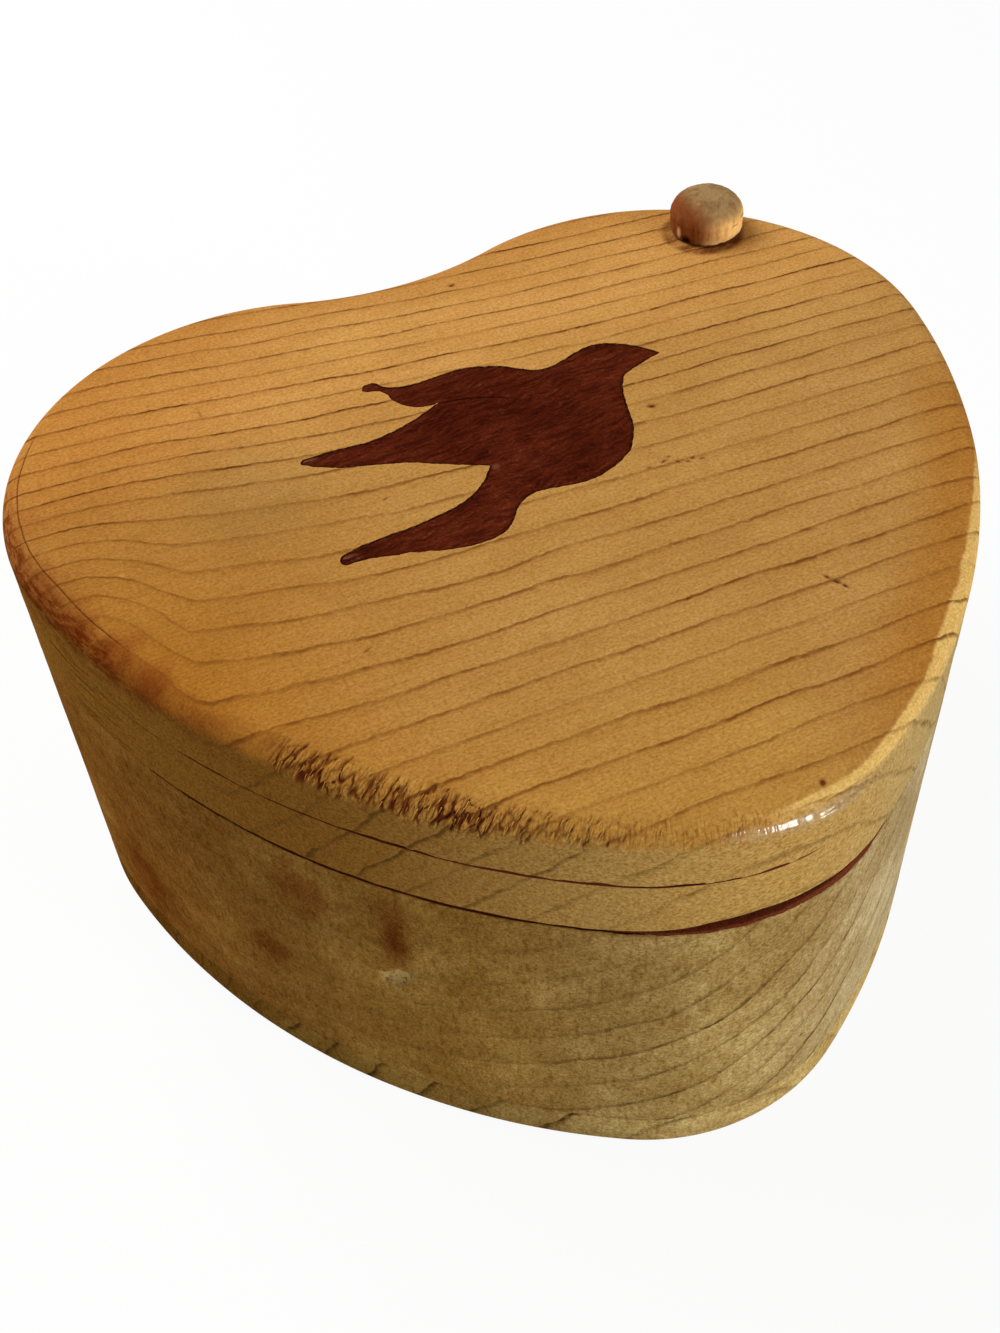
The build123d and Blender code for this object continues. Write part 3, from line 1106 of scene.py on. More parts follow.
def build_rim_felt(nap, material):
    """Felt glide on the rim, cut by hand a little inside the edge."""
    along = edge_steps(0.8 * mm)
    low, high = rim_felt_low.z, rim_felt_high.z
    steps = (-200, -104, -96, -30, -20, -8, 18, 26, 100, 200)
    drawn = course(along, steps, (0.3, 0.3, 0.9, 0.9, 0.1, -0.28, -0.28, 0.1, 0.4, 0.3))
    setback = rim_felt_setback + drawn
    fray = setback + 0.12 * mm * np.clip(1 + lumps(along, 1.4 * mm, 45), 0, 2)
    foot = low + np.minimum(ring_lip(along), 0) * ease(setback, 0.5 * mm, 0.2 * mm)
    steps = ((0, foot), (-0.02 * mm, high - 0.25 * mm), (0.06 * mm, high - 0.08 * mm), (0.25 * mm, high))
    rings = [edge_ring(*heart_edge(along), fray + inset, height) for inset, height in steps]
    inner = outlines("rim_felt", high, 0.9 * mm)[1]
    cut = 0.1 * mm * (1 + lumps(inner, 1.5 * mm, 46))
    steps = ((0.2 * mm, high), (0, high - 0.12 * mm), (0, low))
    hollow = [edge_ring(inner, loop_outward(inner), -cut - inset, height) for inset, height in steps]
    hole = circle_rings(felt_hole_radius, (high, low), 40)
    spots = spread_points(rings[-1][:, :2], [hollow[0][:, :2], hole[0][:, :2]], 1.1 * mm)
    top = (spots, lambda at: high - 0.5 * nap_at(at, nap, 1.8 * mm, 47))
    piece = closed_board("rim_felt_strip", rings, [hollow, hole], top=top)
    finish_piece(piece, "box", "felt", material, "rim_felt")
    area = (abs(turning(rings[0][:, :2])) - abs(turning(inner))) / 2
    length = (2 * half_edge() + length_of(inner)) / 2
    widest = area / length + 0.6 * mm


# Lid


def relief_at(spots):
    """How far the finger relief is sanded up into the under board at each point."""
    outward = np.array([cos(relief_bearing), sin(relief_bearing)])
    centre = tip_radius * outward + (0, tip_radius - half_length)
    away = spots[:, :2] - centre
    out = away @ outward
    aside = away @ np.array([-outward[1], outward[0]])
    slope = relief_depth / relief_reach
    radius = (relief_half_length**2 + relief_depth**2) / (2 * relief_depth)
    sink = radius - np.sqrt(np.maximum(radius**2 - aside**2, 0))
    return np.maximum(relief_depth + slope * out - sink * sqrt(1 + slope**2), 0)


def joint_opening(along):
    """How far the glue joint between the lid's boards has opened along the front edge."""
    wear = bpy.context.scene.heart_box_wear
    along = along / mm
    open_span = np.maximum(within(along, -76, -64, -2, 8), 0.7 * within(along, -132, -112, -79, -73))
    gate = np.clip(0.5 + 0.9 * lumps(along, 5, 63, 2), 0.12, 1)
    gate *= 1 - 0.85 * ease(lumps(along, 1.9, 68, 1), 0.3, 0.4)
    return 0.02 * mm + open_span * (0.09 * mm + wear.crack_height * gate)


def joint_height(along):
    """Height of the glue joint's outer edge, which dips where the lower board is chipped."""
    steps = (-200, -62, -48, -40, -34, -18, -12, -8, -2, 6, 14, 200)
    dips = course(along, steps, (0, 0, 0.05, 0.15, 0.34, 0.34, 0, 0, 0.3, 0.45, 0.2, 0))
    return under_high.z - dips - 0.05 * mm * lumps(along, 3 * mm, 55)


def lid_relief(spots):
    """The finger relief as it was sanded by hand, shallower to its right."""
    aside = (spots[:, 0] / mm - 5.4) * 0.985
    return relief_at(spots) * (1 - 0.97 * ease(aside, -14, 11)) * (1 - 0.45 * ease(aside, -10, -20))


def build_under_board():
    """Under board of the lid, with the finger relief and an eased lower edge."""
    along = edge_steps(0.7 * mm)
    points, outward = heart_edge(along)
    ring = partial(edge_ring, points, outward)
    joint = joint_height(along)
    worn = sanded(points, 51) + 0.02 * mm
    soft = under_edge_radius * (0.7 + 0.4 * lumps(along, 3.5 * mm, 52)) * (1 - 0.93 * closed_seam(along))
    rings = []
    for turn in np.linspace(0, pi / 2, 6):
        spots = ring(soft * (1 - sin(turn)) + worn, 0)[:, :2]
        rings.append(at_height(spots, under_low.z + lid_relief(spots) + soft * (1 - cos(turn))))
    low = under_low.z + lid_relief(points) + soft
    for share in np.linspace(0.12, 0.95, 9):
        height = low + share * (joint - low)
        rings.append(ring(worn + fuzz(points, height, 53), height))
    rings.append(ring(worn + 0.02 * mm, joint - 0.05 * mm))
    rings.append(ring(worn + 0.05 * mm, joint))
    rings.append(ring(1 * mm, under_high.z))
    gap = ease(joint_opening(along), 0.04 * mm, 0.1 * mm)
    hole = circle_rings(lid_hole_radius, (under_high.z, under_low.z))
    spots = spread_points(rings[0][:, :2], [hole[0][:, :2]], 2.2 * mm)
    bottom = (spots, lambda at: under_low.z + lid_relief(at))
    piece = closed_board("lid_under_board_wood", rings, [hole], bottom=bottom)
    paint(piece, "over", (), far_over)
    # Painted shade on the under board's top edge where the glue joint stands open
    paint(piece, "shade_and_grime", [0 * along] * (len(rings) - 2) + [gap, gap])
    finish_piece(piece, "lid", "under_board_wood", lid_wood("under board wood"), "lid_under_board")


# The number of millimetres over the roundover that stands for faces below it
far_over = 10.0

# Torn grain along the lid's front edge, and the score line on its left lobe with its way over the roundover
tear_from = -61 * mm
tear_to = 9 * mm
score_from = -134 * mm
score_to = -78 * mm
score_row = lid_roundover * asin(1 - 2.65 * mm / lid_roundover)

# Small dents in the lid's top: x, y, length, width, bearing in degrees and depth, in millimetres
top_marks = (
    (12.6, -3.0, 0.35, 0.22, -30, 0.12),
    (14.8, -2.7, 0.40, 0.22, 20, 0.14),
    (15.8, -2.15, 0.30, 0.22, 0, 0.10),
    (16.4, -3.55, 0.35, 0.20, -40, 0.16),
    (17.5, -4.1, 0.35, 0.20, -30, 0.12),
    (18.4, -3.7, 0.30, 0.22, 10, 0.16),
    (19.4, -4.35, 0.35, 0.22, -20, 0.12),
    (21.6, -30.0, 0.45, 0.22, -58, 0.16),
    (22.2, -31.1, 0.60, 0.26, -60, 0.26),
    (22.7, -32.2, 0.45, 0.22, -65, 0.18),
    (24.0, -21.95, 0.90, 0.20, -15, 0.10),
    (5.5, -26.0, 0.35, 0.25, 0, 0.12),
    (18.9, 8.25, 0.60, 0.36, -20, 0.30),
    (6.5, 47.1, 0.50, 0.30, 10, 0.20),
    (-31.0, -17.4, 0.50, 0.25, 20, 0.10),
    (-19.6, 6.4, 0.45, 0.20, 15, 0.10),
    (-35.6, 34.0, 0.16, 1.60, 0, 0.07),
)

# Light specks in the lid's top: x, y and size, in millimetres
light_specks = (
    (-26.1, 30.6, 0.35),
    (-10.6, 33.3, 0.30),
    (-53.0, 7.5, 0.40),
    (-5.4, 6.4, 0.35),
    (-4.5, 5.7, 0.30),
)

# A pin hole at the lid's front edge: where along the edge, how far over it, and its size
pin_hole = (5.0 * mm, 1.6 * mm, 0.36 * mm)


def mark_share(spots):
    """How deep each point lies in a dent, from 0 to 1, and the depth there."""
    share = np.zeros(len(spots))
    depth = np.zeros(len(spots))
    for x, y, length, width, bearing, deep in top_marks:
        away = spots[:, :2] / mm - (x, y)
        turn = radians(bearing)
        lengthwise = away @ np.array([cos(turn), sin(turn)]) / length
        crosswise = away @ np.array([-sin(turn), cos(turn)]) / width
        here = np.exp(-(lengthwise**2) - crosswise**2)
        share = np.maximum(share, here * min(1.0, deep / 0.18))
        depth = np.maximum(depth, here * deep * mm)
    return share, depth


def mark_points():
    """Extra points round each dent and speck, so that the mesh can follow it."""
    points = []
    specks = tuple((x, y, size, size, 0, 0) for x, y, size in light_specks)
    for x, y, length, width, bearing, deep in top_marks + specks:
        turn = radians(bearing)
        for reach in (0.0, 0.4, 0.8, 1.2, 1.7, 2.3):
            count = 12 if reach else 1
            for angle in np.arange(count) * 2 * pi / count:
                a = length * reach * cos(angle)
                b = width * reach * sin(angle)
                spot = (x + a * cos(turn) - b * sin(turn), y + a * sin(turn) + b * cos(turn))
                points.append((spot[0] * mm, spot[1] * mm))
    return points


def top_height(spots):
    """Height of the lid's sanded top."""
    return lid_high.z - sanded(spots[:, :2], 61) - mark_share(spots)[1]


def torn_depth(along, down):
    """How deep the grain is torn, how bare it is, how much painted shade lies in its valleys, and how torn
    at all, over the roundover.

    down is the distance over the roundover from the flat top.
    """
    wear = bpy.context.scene.heart_box_wear
    along, down = along / mm, down / mm
    if np.min(down) > 7.5:
        return (0 * along,) * 4
    upper = 0.9 + 0.8 * ease(along, -42, -30)
    lower = 5.6 - 0.9 * ease(along, -38, -22) - 1.2 * ease(along, -50, -58)
    combed = ease(along, -14, -30)
    slanted = along + 0.34 * down
    shaky = slanted + 0.2 * lumps((along, down), 1.2, 70, 2)
    border = upper + 0.9 * lumps((slanted, down * 0.2), 0.9, 71, 2)
    bottom = lower + 1.2 * lumps((slanted, down * 0.3), 1.5, 72, 2)
    band = within(down, border - 0.3, border + 0.4, bottom - 0.8, bottom + 0.8)
    power = within(along, -61, -53, -3, 2) * band

    def valleys(width, length, seed, narrow, level=1):
        ribs = lumps((shaky * mm / (width * wear.tear_width), down / length), 1, seed, 1)
        return np.clip(level - np.abs(ribs) / narrow, 0, 1)

    wide = valleys(1, 2.6, 73, 0.3, 1.1)
    thin = valleys(0.5, 2, 74, 0.22)
    broad = valleys(1.9, 2.4, 78, 0.11)
    strong = ease(lumps(along, 5, 76, 2), -0.45, 0.15)
    deep = ease(down, border + 0.3, border + 1.6)
    sunk = combed * (0.85 * wide + 0.4 * thin) * (0.68 + 0.32 * strong) + (1 - combed) * 0.2 * thin
    split = broad * (0.45 + 0.35 * combed) * ease(lumps(along, 3.5, 79, 1), -0.05, 0.25)
    pit = ease(lumps((shaky, down / 1.5), 0.7, 77, 1), 0.22, 0.42) * strong * combed * deep
    depth = wear.tear_depth * power * (0.08 + 0.55 * sunk + 0.45 * split + 0.35 * pit)
    bare = power * np.clip(0.75 - 0.9 * sunk - 0.9 * split - pit, 0, 1)
    # dark is painted shade in the torn valleys, splits and pits
    dark = power * np.clip(0.95 * sunk * (0.4 + 0.6 * deep) + 0.5 * split + 0.5 * pit - 0.1, 0, 0.6)
    return depth, bare, dark * (1 - 0.45 * ease(along, -38, -24)), power


def pale_share(along, down):
    """How much of the pale band on the lid's right edge shows at points over the roundover."""
    along, down = along / mm, down / mm
    steps = (-10, 12, 26, 32, 48, 60, 70)
    start = np.interp(along, steps, (2.1, 2.3, 2.3, 1.6, 1.4, 2.1, 3))
    start += 0.32 * lumps(along, 3.2, 66) + 0.14 * lumps((along, down), 0.7, 69, 2)
    end = np.interp(along, steps, (4.2, 4.5, 5.8, 6.4, 6.6, 6.6, 6.6)) + 0.9 * lumps((along, down), 2, 67)
    return within(along, -7, 0, 60, 72) * within(down, start - 0.2, start + 0.3, end - 0.8, end + 1)


def lid_step(along, down):
    """How far the right edge is sanded in above a narrow step, and where the step catches the light."""
    along = along / mm
    step = np.interp(along, (-8, -5, 0, 4, 8, 16, 24), (4.3, 4.5, 5.1, 5.65, 5.9, 6.3, 6.6))
    below = down / mm - step - 0.07 * lumps(along, 1.3, 87, 2)
    ends = within(along, -9, -5, 8, 22)
    sunk = (0.42 * mm + 0.2 * mm * ease(along, -2, 3)) * ends * within(below, -2.2, -1, -0.38, 0.38)
    return sunk, ends * ease(along, 16, 6) * within(below, -0.9, -0.3, 0.4, 0.9)


def lid_profile(along, down):
    """Inset, drop and slope of the lid's edge at a distance over the roundover.

    The right side is sanded with a fuller shoulder than the rest.
    """
    lean = np.clip(down / lid_roundover, 0, pi / 2)
    fuller = 1 - 0.25 * within(along / mm, -14, 0, 66, 84)
    inset = lid_roundover * (1 - np.sin(lean) ** fuller)
    drop = lid_roundover * (1 - np.cos(lean) ** fuller)
    return inset, drop, lean


def roundover_rows():
    """Distances over the roundover of its rows, upwards from the side, with the score's rows."""
    rows = np.linspace(pi / 2, 0, 32)[1:] * lid_roundover
    plain = [row for row in rows if abs(row - score_row) > 0.3 * mm]
    return sorted(plain + [score_row + shift * mm for shift in (-0.16, -0.07, 0, 0.07, 0.16)], reverse=True)


def build_top_board():
    """Top board of the lid: rounded over, torn, scored and open along its glue joint in places."""
    along = edge_steps(0.5 * mm, 0.085 * mm, (tear_from, tear_to))
    points, outward = heart_edge(along)
    ring = partial(edge_ring, points, outward)
    worn = sanded(points, 62)
    low = lid_low.z
    joint = joint_height(along)
    crack = joint_opening(along)
    side_low = joint + crack
    side_top = lid_high.z - lid_roundover
    rings = [
        ring(1 * mm, low),
        ring(0.95 * mm, np.maximum(side_low - crack * 0.2, low - 0.05 * (low - joint))),
        ring(worn + 0.06 * mm, side_low),
        ring(worn, side_low + 0.05 * mm),
    ]
    none = 0 * along
    # Painted shade on the faces of the open glue joint, where the crack is wide
    gap = ease(crack, 0.04 * mm, 0.12 * mm)
    looks = [(none + far_over, none, none, shade_and_grime, none, none) for shade_and_grime in (gap, gap, gap * 0.9, none)]
    for share in (*np.linspace(0.1, 0.74, 6), *np.linspace(0.8, 1, 9)):
        height = side_low + share * (side_top - side_low)
        down = lid_roundover * pi / 2 + side_top - height
        torn, bare, dark, power = torn_depth(along, down)
        step, shine = lid_step(along, down)
        rings.append(ring(worn + fuzz(points, height, 64) + torn + step, height))
        looks.append((down / mm, pale_share(along, down), bare, dark, power, shine))
    scored = within(along, score_from, score_from + 8 * mm, score_to - 8 * mm, score_to)
    wobble = 0.16 * mm * lumps(along, 7 * mm, 65) * scored
    for row in roundover_rows():
        offset = abs(row - score_row)
        on_score = offset <= 0.17 * mm
        groove = scored * max(0, 1 - offset / (0.12 * mm)) * on_score
        down = row + wobble * on_score
        inset, drop, lean = lid_profile(along, down)
        torn, bare, dark, power = torn_depth(along, down)
        step, shine = lid_step(along, down)
        sunk = torn + worn + 0.16 * mm * groove
        rings.append(ring(inset + sunk * np.sin(lean) + step, lid_high.z - drop - sunk * np.cos(lean)))
        pin = np.exp(-((np.hypot(along - pin_hole[0], down - pin_hole[1]) / pin_hole[2]) ** 2))
        dark = np.maximum(dark, groove * (0.42 + 0.12 * lumps(along, 3 * mm, 88)))
        looks.append((down / mm, pale_share(along, down), bare, np.maximum(dark, 0.95 * pin), power, shine))
    last = ring(lid_roundover + 0.35 * mm, 0)[:, :2]
    rings.append(at_height(last, top_height(last)))
    looks.append((none - 0.35, none, none, none, none, none))
    bird = bird_loop(0.5)
    hole = circle_loop(pivot, lid_hole_radius, 48)
    shafts = [[at_height(loop, top_height(loop)), at_height(loop, low)] for loop in (bird, hole)]
    rim_points = [tuple(spot) for spot in bird + loop_outward(bird) * 0.32 * mm]
    spots = spread_points(last, [bird, hole], 1.5 * mm, mark_points() + rim_points)
    piece = closed_board("lid_top_board_wood", rings, shafts, top=(spots, top_height))
    rest = vertices_of(piece)[len(rings) * len(along) :]
    on_top = rest[:, 2] > lid_high.z - 1.5 * mm
    specks = np.max([dot(rest[:, :2], *speck) for speck in light_specks], axis=0)
    specks[: len(bird)] = 0.4
    inner = {
        "over": np.where(on_top, -clearance(rest, last) / mm - 0.35, far_over),
        "bare": specks * on_top,
        "shade_and_grime": mark_share(rest)[0] * on_top * 0.72,
    }
    for name, values in zip(("over", "pale", "bare", "shade_and_grime", "torn", "gloss"), zip(*looks)):
        paint(piece, name, np.concatenate([*values, inner.get(name, ())]))
    paint(piece, "along", [along / mm] * len(rings))
    material = lid_wood("top board wood")
    finish_piece(piece, "lid", "top_board_wood", material, "lid_top_board")
    build_slivers(material)


def build_slivers(material):
    """Loose fibres that stand out of the torn grain."""
    wear = bpy.context.scene.heart_box_wear
    draw = np.random.default_rng(7)
    vertices, faces = [], []
    while len(faces) < wear.sliver_count * 10:
        along = draw.uniform(-57 * mm, 1 * mm)
        down = draw.uniform(1.4 * mm, 4.2 * mm)
        if draw.random() > 0.3 + 0.7 * ease(along, -20 * mm, -34 * mm):
            continue
        length = draw.uniform(0.5, 1.2) * mm
        width = draw.uniform(0.09, 0.18) * mm
        lift = draw.uniform(0.02, 0.16) * mm
        drift = draw.normal(-0.32, 0.12)
        start = len(vertices)
        for share in (0, 0.35, 0.7, 1):
            here = along + share * length * drift
            reach = down + share * length
            rise = lift * share**1.5 - 0.14 * mm * (1 - share)
            wide = width * (1 - 0.85 * share)
            for aside, up in ((-0.5, 0), (0.5, 0), (0, 0.6)) if share < 1 else ((0, 0),):
                vertices.append(over_roundover(here + aside * wide, reach, rise + up * wide))
        numbers = [[row, row + 1, row + 2] for row in (start, start + 3, start + 6)]
        faces += [(start, start + 2, start + 1)] + wall(numbers) + fan(numbers[-1], start + 9)
    piece = new_piece("lid_torn_fibres", vertices, faces)
    paint(piece, "over", (), 3)
    paint(piece, "bare", np.repeat(draw.uniform(0.2, 0.9, len(vertices) // 10), 10))
    finish_piece(piece, "lid", "top_board_wood", material)


def over_roundover(along, down, rise):
    """A point on the lid's edge: along the heart, down over the roundover, and off the surface."""
    points, outward = heart_edge([along])
    inset, drop, lean = [float(value) for value in lid_profile(along, down)]
    below = max(0.0, down - lid_roundover * pi / 2)
    spot = points[0] - outward[0] * (inset - rise * sin(lean))
    return (*spot, lid_high.z - drop + rise * cos(lean) - below)


# Bird inlay

# Slips of the saw along the bird's edge: x, y, size and how far the edge moves out, in millimetres
bird_nicks = (
    (-13.3, 29.0, 1.2, 0.62),
    (-11.5, 26.4, 0.8, -0.22),
    (-20.7, -4.75, 0.8, -0.34),
    (-4.4, 6.3, 0.55, -0.42),
    (-12.6, -4.6, 1.6, 0.22),
)

# A thin saw cut over the bird's wing
saw_cut = np.array([(-6.1, 21.7), (-2.2, 21.0), (1.2, 19.6), (2.6, 18.6)]) * mm


def bird_loop(side):
    """The sawn edge of the bird: half a glue line outside (0.5) or inside (-0.5) the true outline."""
    wear = bpy.context.scene.heart_box_wear
    loop = outlines("bird_inlay", lid_high.z, 0.22 * mm, 0)[0]
    shift = side * wear.glue_line_width * (1 + 0.6 * lumps(loop, 4 * mm, 83))
    shift += 0.09 * mm * lumps(loop, 0.8 * mm, 81) + 0.1 * mm * lumps(loop, 2.5 * mm, 82)
    for x, y, size, amount in bird_nicks:
        shift += amount * mm * dot(loop, x, y, size)
    return edge_ring(loop, loop_outward(loop), -shift, 0)[:, :2]


def cut_share(flat):
    """How deep each point lies in the saw cut over the bird, from 0 to 1."""
    away = np.full(len(flat), np.inf)
    for a, b in zip(saw_cut, saw_cut[1:]):
        run = b - a
        share = np.clip((flat - a) @ run / (run @ run), 0, 1)
        away = np.minimum(away, np.linalg.norm(flat - a - share[:, None] * run, axis=1))
    return ease(away, 0.24 * mm, 0)


def bird_height(spots):
    """Height of the bird's face, with its saw cut and its pores."""
    flat = spots[:, :2]
    pores = 0.03 * mm * (1 + lumps(flat * (0.25, 1), 0.5 * mm, 84))
    return lid_high.z - 0.05 * mm - sanded(flat, 61) - 0.14 * mm * cut_share(flat) - pores


def build_bird():
    """Bird of dark wood, let into the lid flush and glued round with a dark line."""
    loop = bird_loop(-0.5)
    inner = edge_ring(loop, loop_outward(loop), 0.1 * mm, bird_height(loop))
    rings = [at_height(loop, lid_low.z), at_height(loop, bird_height(loop) - 0.08 * mm), inner]
    cut_points = []
    for a, b in zip(saw_cut, saw_cut[1:]):
        run = b - a
        aside = np.array([-run[1], run[0]]) / np.linalg.norm(run)
        for share in np.arange(0, 1, 0.12 * mm / np.linalg.norm(run)):
            for shift in (-0.24, -0.1, 0.0, 0.1, 0.24):
                cut_points.append(tuple(a + share * run + shift * mm * aside))
    spots = spread_points(inner[:, :2], [], 0.55 * mm, cut_points)
    piece = closed_board("bird_inlay_wood", rings, top=(spots, bird_height))
    paint(piece, "cut", cut_share(vertices_of(piece)[:, :2]))
    finish_piece(piece, "lid", "inlay_wood", bird_wood(), "bird_inlay")
    build_glue_line()


def build_glue_line():
    """Dark glue that fills the saw cut between the bird and the lid."""
    outer = bird_loop(0.5)
    inner = bird_loop(-0.5)
    middle = (outer + inner) / 2
    top = top_height(middle) - 0.07 * mm - 0.03 * mm * lumps(middle, 1.1 * mm, 85)
    low = lid_high.z - 1.2 * mm
    overlap = loop_outward(outer) * 0.08 * mm
    sides = ((outer + overlap, low), (outer + overlap, top), (inner - overlap, top), (inner - overlap, low))
    vertices = []
    rings = [add_ring(vertices, at_height(loop, height)) for loop, height in sides]
    piece = new_piece("bird_glue_line", vertices, wall(rings + rings[:1]))
    glue = Recipe("dark glue")
    dust = glue.cloud(1.6, 3)
    glue.base = (0.02, 0.004, 0.002)
    glue.cover(dust.eased(0.46, 0.7), (0.075, 0.022, 0.009))
    material = glue.finish(dust, 0.05 * mm, Roughness=0.55, Specular_IOR_Level=0)
    finish_piece(piece, "lid", "inlay_wood", material)


def bird_wood():
    """Dark red-brown wood with fine, close, nearly black fibres."""
    wood = Recipe("bird wood")
    x, y, z = wood.axes
    wave = (wood.cloud(0.12) - 0.5) * 4 + (wood.cloud(0.7) - 0.5) * 1
    bent = wood.node("ShaderNodeCombineXYZ", {0: x * 0.16, 1: y - x * 0.12 + wave, 2: z}).outputs[0]
    grain = wood.cloud(1.7, 3, 0.65, place=bent)
    pores = wood.cloud(1.5, 3, 0.65, stretch=(2.4, 2.2, 2.2), place=bent)
    speckle = wood.cloud(2.2, 3, 0.65)
    colour = bpy.context.scene.heart_box_woods.bird_colour[:]
    blotches = wood.cloud(0.09).eased(0.35, 0.65)
    wood.base = scaled(colour, 0.86, 0.85, 0.85)
    wood.cover(blotches, scaled(colour, 1.25, 1.35, 1.3))
    wood.mottled(grain, 0.49, 0.62, 0.75, (0.46, 0.46, 0.55))
    wood.mottled(grain, 0.47, 0.34, 0.6, (1.5, 1.8, 1.8))
    wood.mottled(pores, 0.54, 0.68, 0.6, (0.42, 0.45, 0.5))
    wood.mottled(pores, 0.44, 0.32, 0.5, (1.6, 2.2, 2.4))
    wood.mottled(speckle, 0.54, 0.7, 0.6, (1.7, 2.6, 3))
    wood.mottled(speckle, 0.46, 0.32, 0.5, (0.5, 0.5, 0.5))
    for tip in ((-27.4, -2, 66.4), (-25.6, 17.9, 66.4)):
        filler = wood.spot(tip, 0.9, 0.25, (0.45, 1, 1))
        wood.cover(filler * grain.eased(0.6, 0.45) * 0.75, (0.2, 0.075, 0.034))
    wood.cover(wood.spot((-4.7, 6, 66.4), 0.8, 0.4) * 0.6, (0.17, 0.06, 0.03))
    wood.cover(wood.layer("cut") * 0.9, (0.012, 0.003, 0.002))
    height = grain * -0.5 + pores * -0.5 + speckle * 0.6
    return wood.finish(height, 0.06 * mm, 0.9, Roughness=0.5, Specular_IOR_Level=0.001)


# Pivot peg


def build_peg():
    """Turned peg with a domed head and a chipped lower rim."""
    head_low = lid_high.z + peg_head_gap
    skirt_top = head_low + 2.2 * mm
    dome = peg_high.z - 0.5 * mm - skirt_top
    shank = [peg_low.z + peg_end_chamfer, *np.linspace(peg_low.z + 4 * mm, head_low - 0.2 * mm, 8)]
    profile = [(peg_shank_radius - peg_end_chamfer, peg_low.z)]
    profile += [(peg_shank_radius, height) for height in shank]
    profile += [(peg_shank_radius + 0.1 * mm, head_low), (peg_head_radius - 0.3 * mm, head_low)]
    profile += [(peg_head_radius - 0.06 * mm, head_low + 0.12 * mm)]
    profile += [(peg_head_radius, height) for height in np.linspace(head_low + 0.4 * mm, skirt_top, 5)]
    for turn in np.linspace(0, 0.985, 30)[1:] * pi / 2:
        profile.append((peg_head_radius * cos(turn) ** 0.9, skirt_top + dome * sin(turn)))
    count = 96
    rays = circle_loop(Vector(), 1, count)
    round_spots = at_height(rays, 0) * 5.5
    rings = []
    for radius, height in profile:
        spots = at_height(circle_loop(pivot, radius, count), height)
        if height > head_low - 0.01 * mm and radius > 0.7 * peg_head_radius and height < skirt_top:
            spots[:, :2] -= rays * 0.1 * mm * (1 + lumps(round_spots, 0.55, 91))[:, None]
            if height < head_low + 0.2 * mm:
                hang = 0.36 * mm * ease(rays @ (-0.82, -0.57), 0, 0.9)
                spots[:, 2] += 0.16 * mm * np.clip(lumps(round_spots, 0.8, 92), 0, 1) - hang
        elif height >= skirt_top:
            flats = 0.16 * mm * (0.5 + 0.5 * lumps(spots, 3.2 * mm, 93))
            pits = 0.06 * mm * (1 + lumps(spots, 0.6 * mm, 94))
            cuts = (flats + pits) * min(1.0, 0.35 + (height - skirt_top) / dome)
            normal = spots - (pivot.x, pivot.y, skirt_top - 2 * dome)
            spots -= normal / np.linalg.norm(normal, axis=1, keepdims=True) * cuts[:, None]
        rings.append(spots)
    vertices = []
    numbers = [add_ring(vertices, ring) for ring in rings]
    faces = wall(numbers) + [tuple(reversed(numbers[0]))] + fan(numbers[-1], len(vertices))
    vertices.append((pivot.x, pivot.y, rings[-1][:, 2].mean()))
    piece = new_piece("pivot_peg_wood", vertices, faces)
    finish_piece(piece, "box", "peg_wood", peg_wood(), "pivot_peg")


def peg_wood():
    """Turned wood with its fibres upright: streaked round the skirt, mottled on the dome."""
    wood = Recipe("peg wood")
    x, y, z = wood.axes
    streaks = wood.cloud(0.8, 3, 0.6, stretch=(1.3, 1.3, 0.16))
    mottle = wood.cloud(0.36, 3, 0.6, 0.4, (1, 1, 0.6))
    fine = wood.cloud(2.2, 2, 0.65, stretch=(1, 1, 0.6))
    colour = bpy.context.scene.heart_box_woods.peg_colour[:]
    crown = z.eased(69, 72.2)
    wood.base = scaled(colour, 0.72, 0.62, 0.5)
    wood.cover(mottle.eased(0.36, 0.64), colour)
    # Painted light: the lower right of the skirt lighter and yellower
    wood.cover(x.eased(42.8, 47.6) * z.eased(71.4, 69.6) * 0.95, (1, 0.62, 0.215))
    wood.cover(crown * 0.9, (0.325, 0.2, 0.084))
    wood.cover(crown * mottle.eased(0.56, 0.4) * 0.6, (0.22, 0.115, 0.042))
    # Dark red-brown down the left side: partly stain, partly painted shade
    wood.cover(x.eased(46.2, 42.2) * z.eased(73.2, 71.2) * 0.95, (0.215, 0.056, 0.014))
    wood.tint(streaks.eased(0.48, 0.34) * z.eased(71, 69) * 0.6, (0.6, 0.44, 0.34))
    wood.mottled(streaks, 0.54, 0.68, 0.4, (1.35, 1.5, 1.7))
    wood.mottled(fine, 0.52, 0.68, 0.45, (1.22, 1.3, 1.4))
    wood.mottled(fine, 0.48, 0.32, 0.45, (0.66, 0.56, 0.48))
    # Painted highlight along the head's lower edge on the right
    wood.cover(z.eased(67.7, 67.2) * x.eased(43, 46) * 0.7, (0.74, 0.44, 0.18))
    for crack in ((50.4, 39.8, 69.6), (48.6, 38.8, 69), (45, 39.5, 72)):
        wood.cover(wood.spot(crack, 0.45, 0.3, (0.4, 0.4, 1.6)) * 0.7, (0.13, 0.04, 0.014))
    splinter = wood.spot((41.3, 42.3, 67.8), 0.62, 0.2, (1, 1, 0.5))
    wood.cover(splinter * 0.9, (0.74, 0.44, 0.22))
    wood.cover(wood.spot((41.9, 40.9, 67), 1.3, 0.25), (0.03, 0.005, 0.003))
    height = streaks * 0.8 + fine * 0.4 + mottle * 0.3
    return wood.finish(height, 0.12 * mm, 0.9, Roughness=0.6, Specular_IOR_Level=0)


# Stage: floor, light and camera

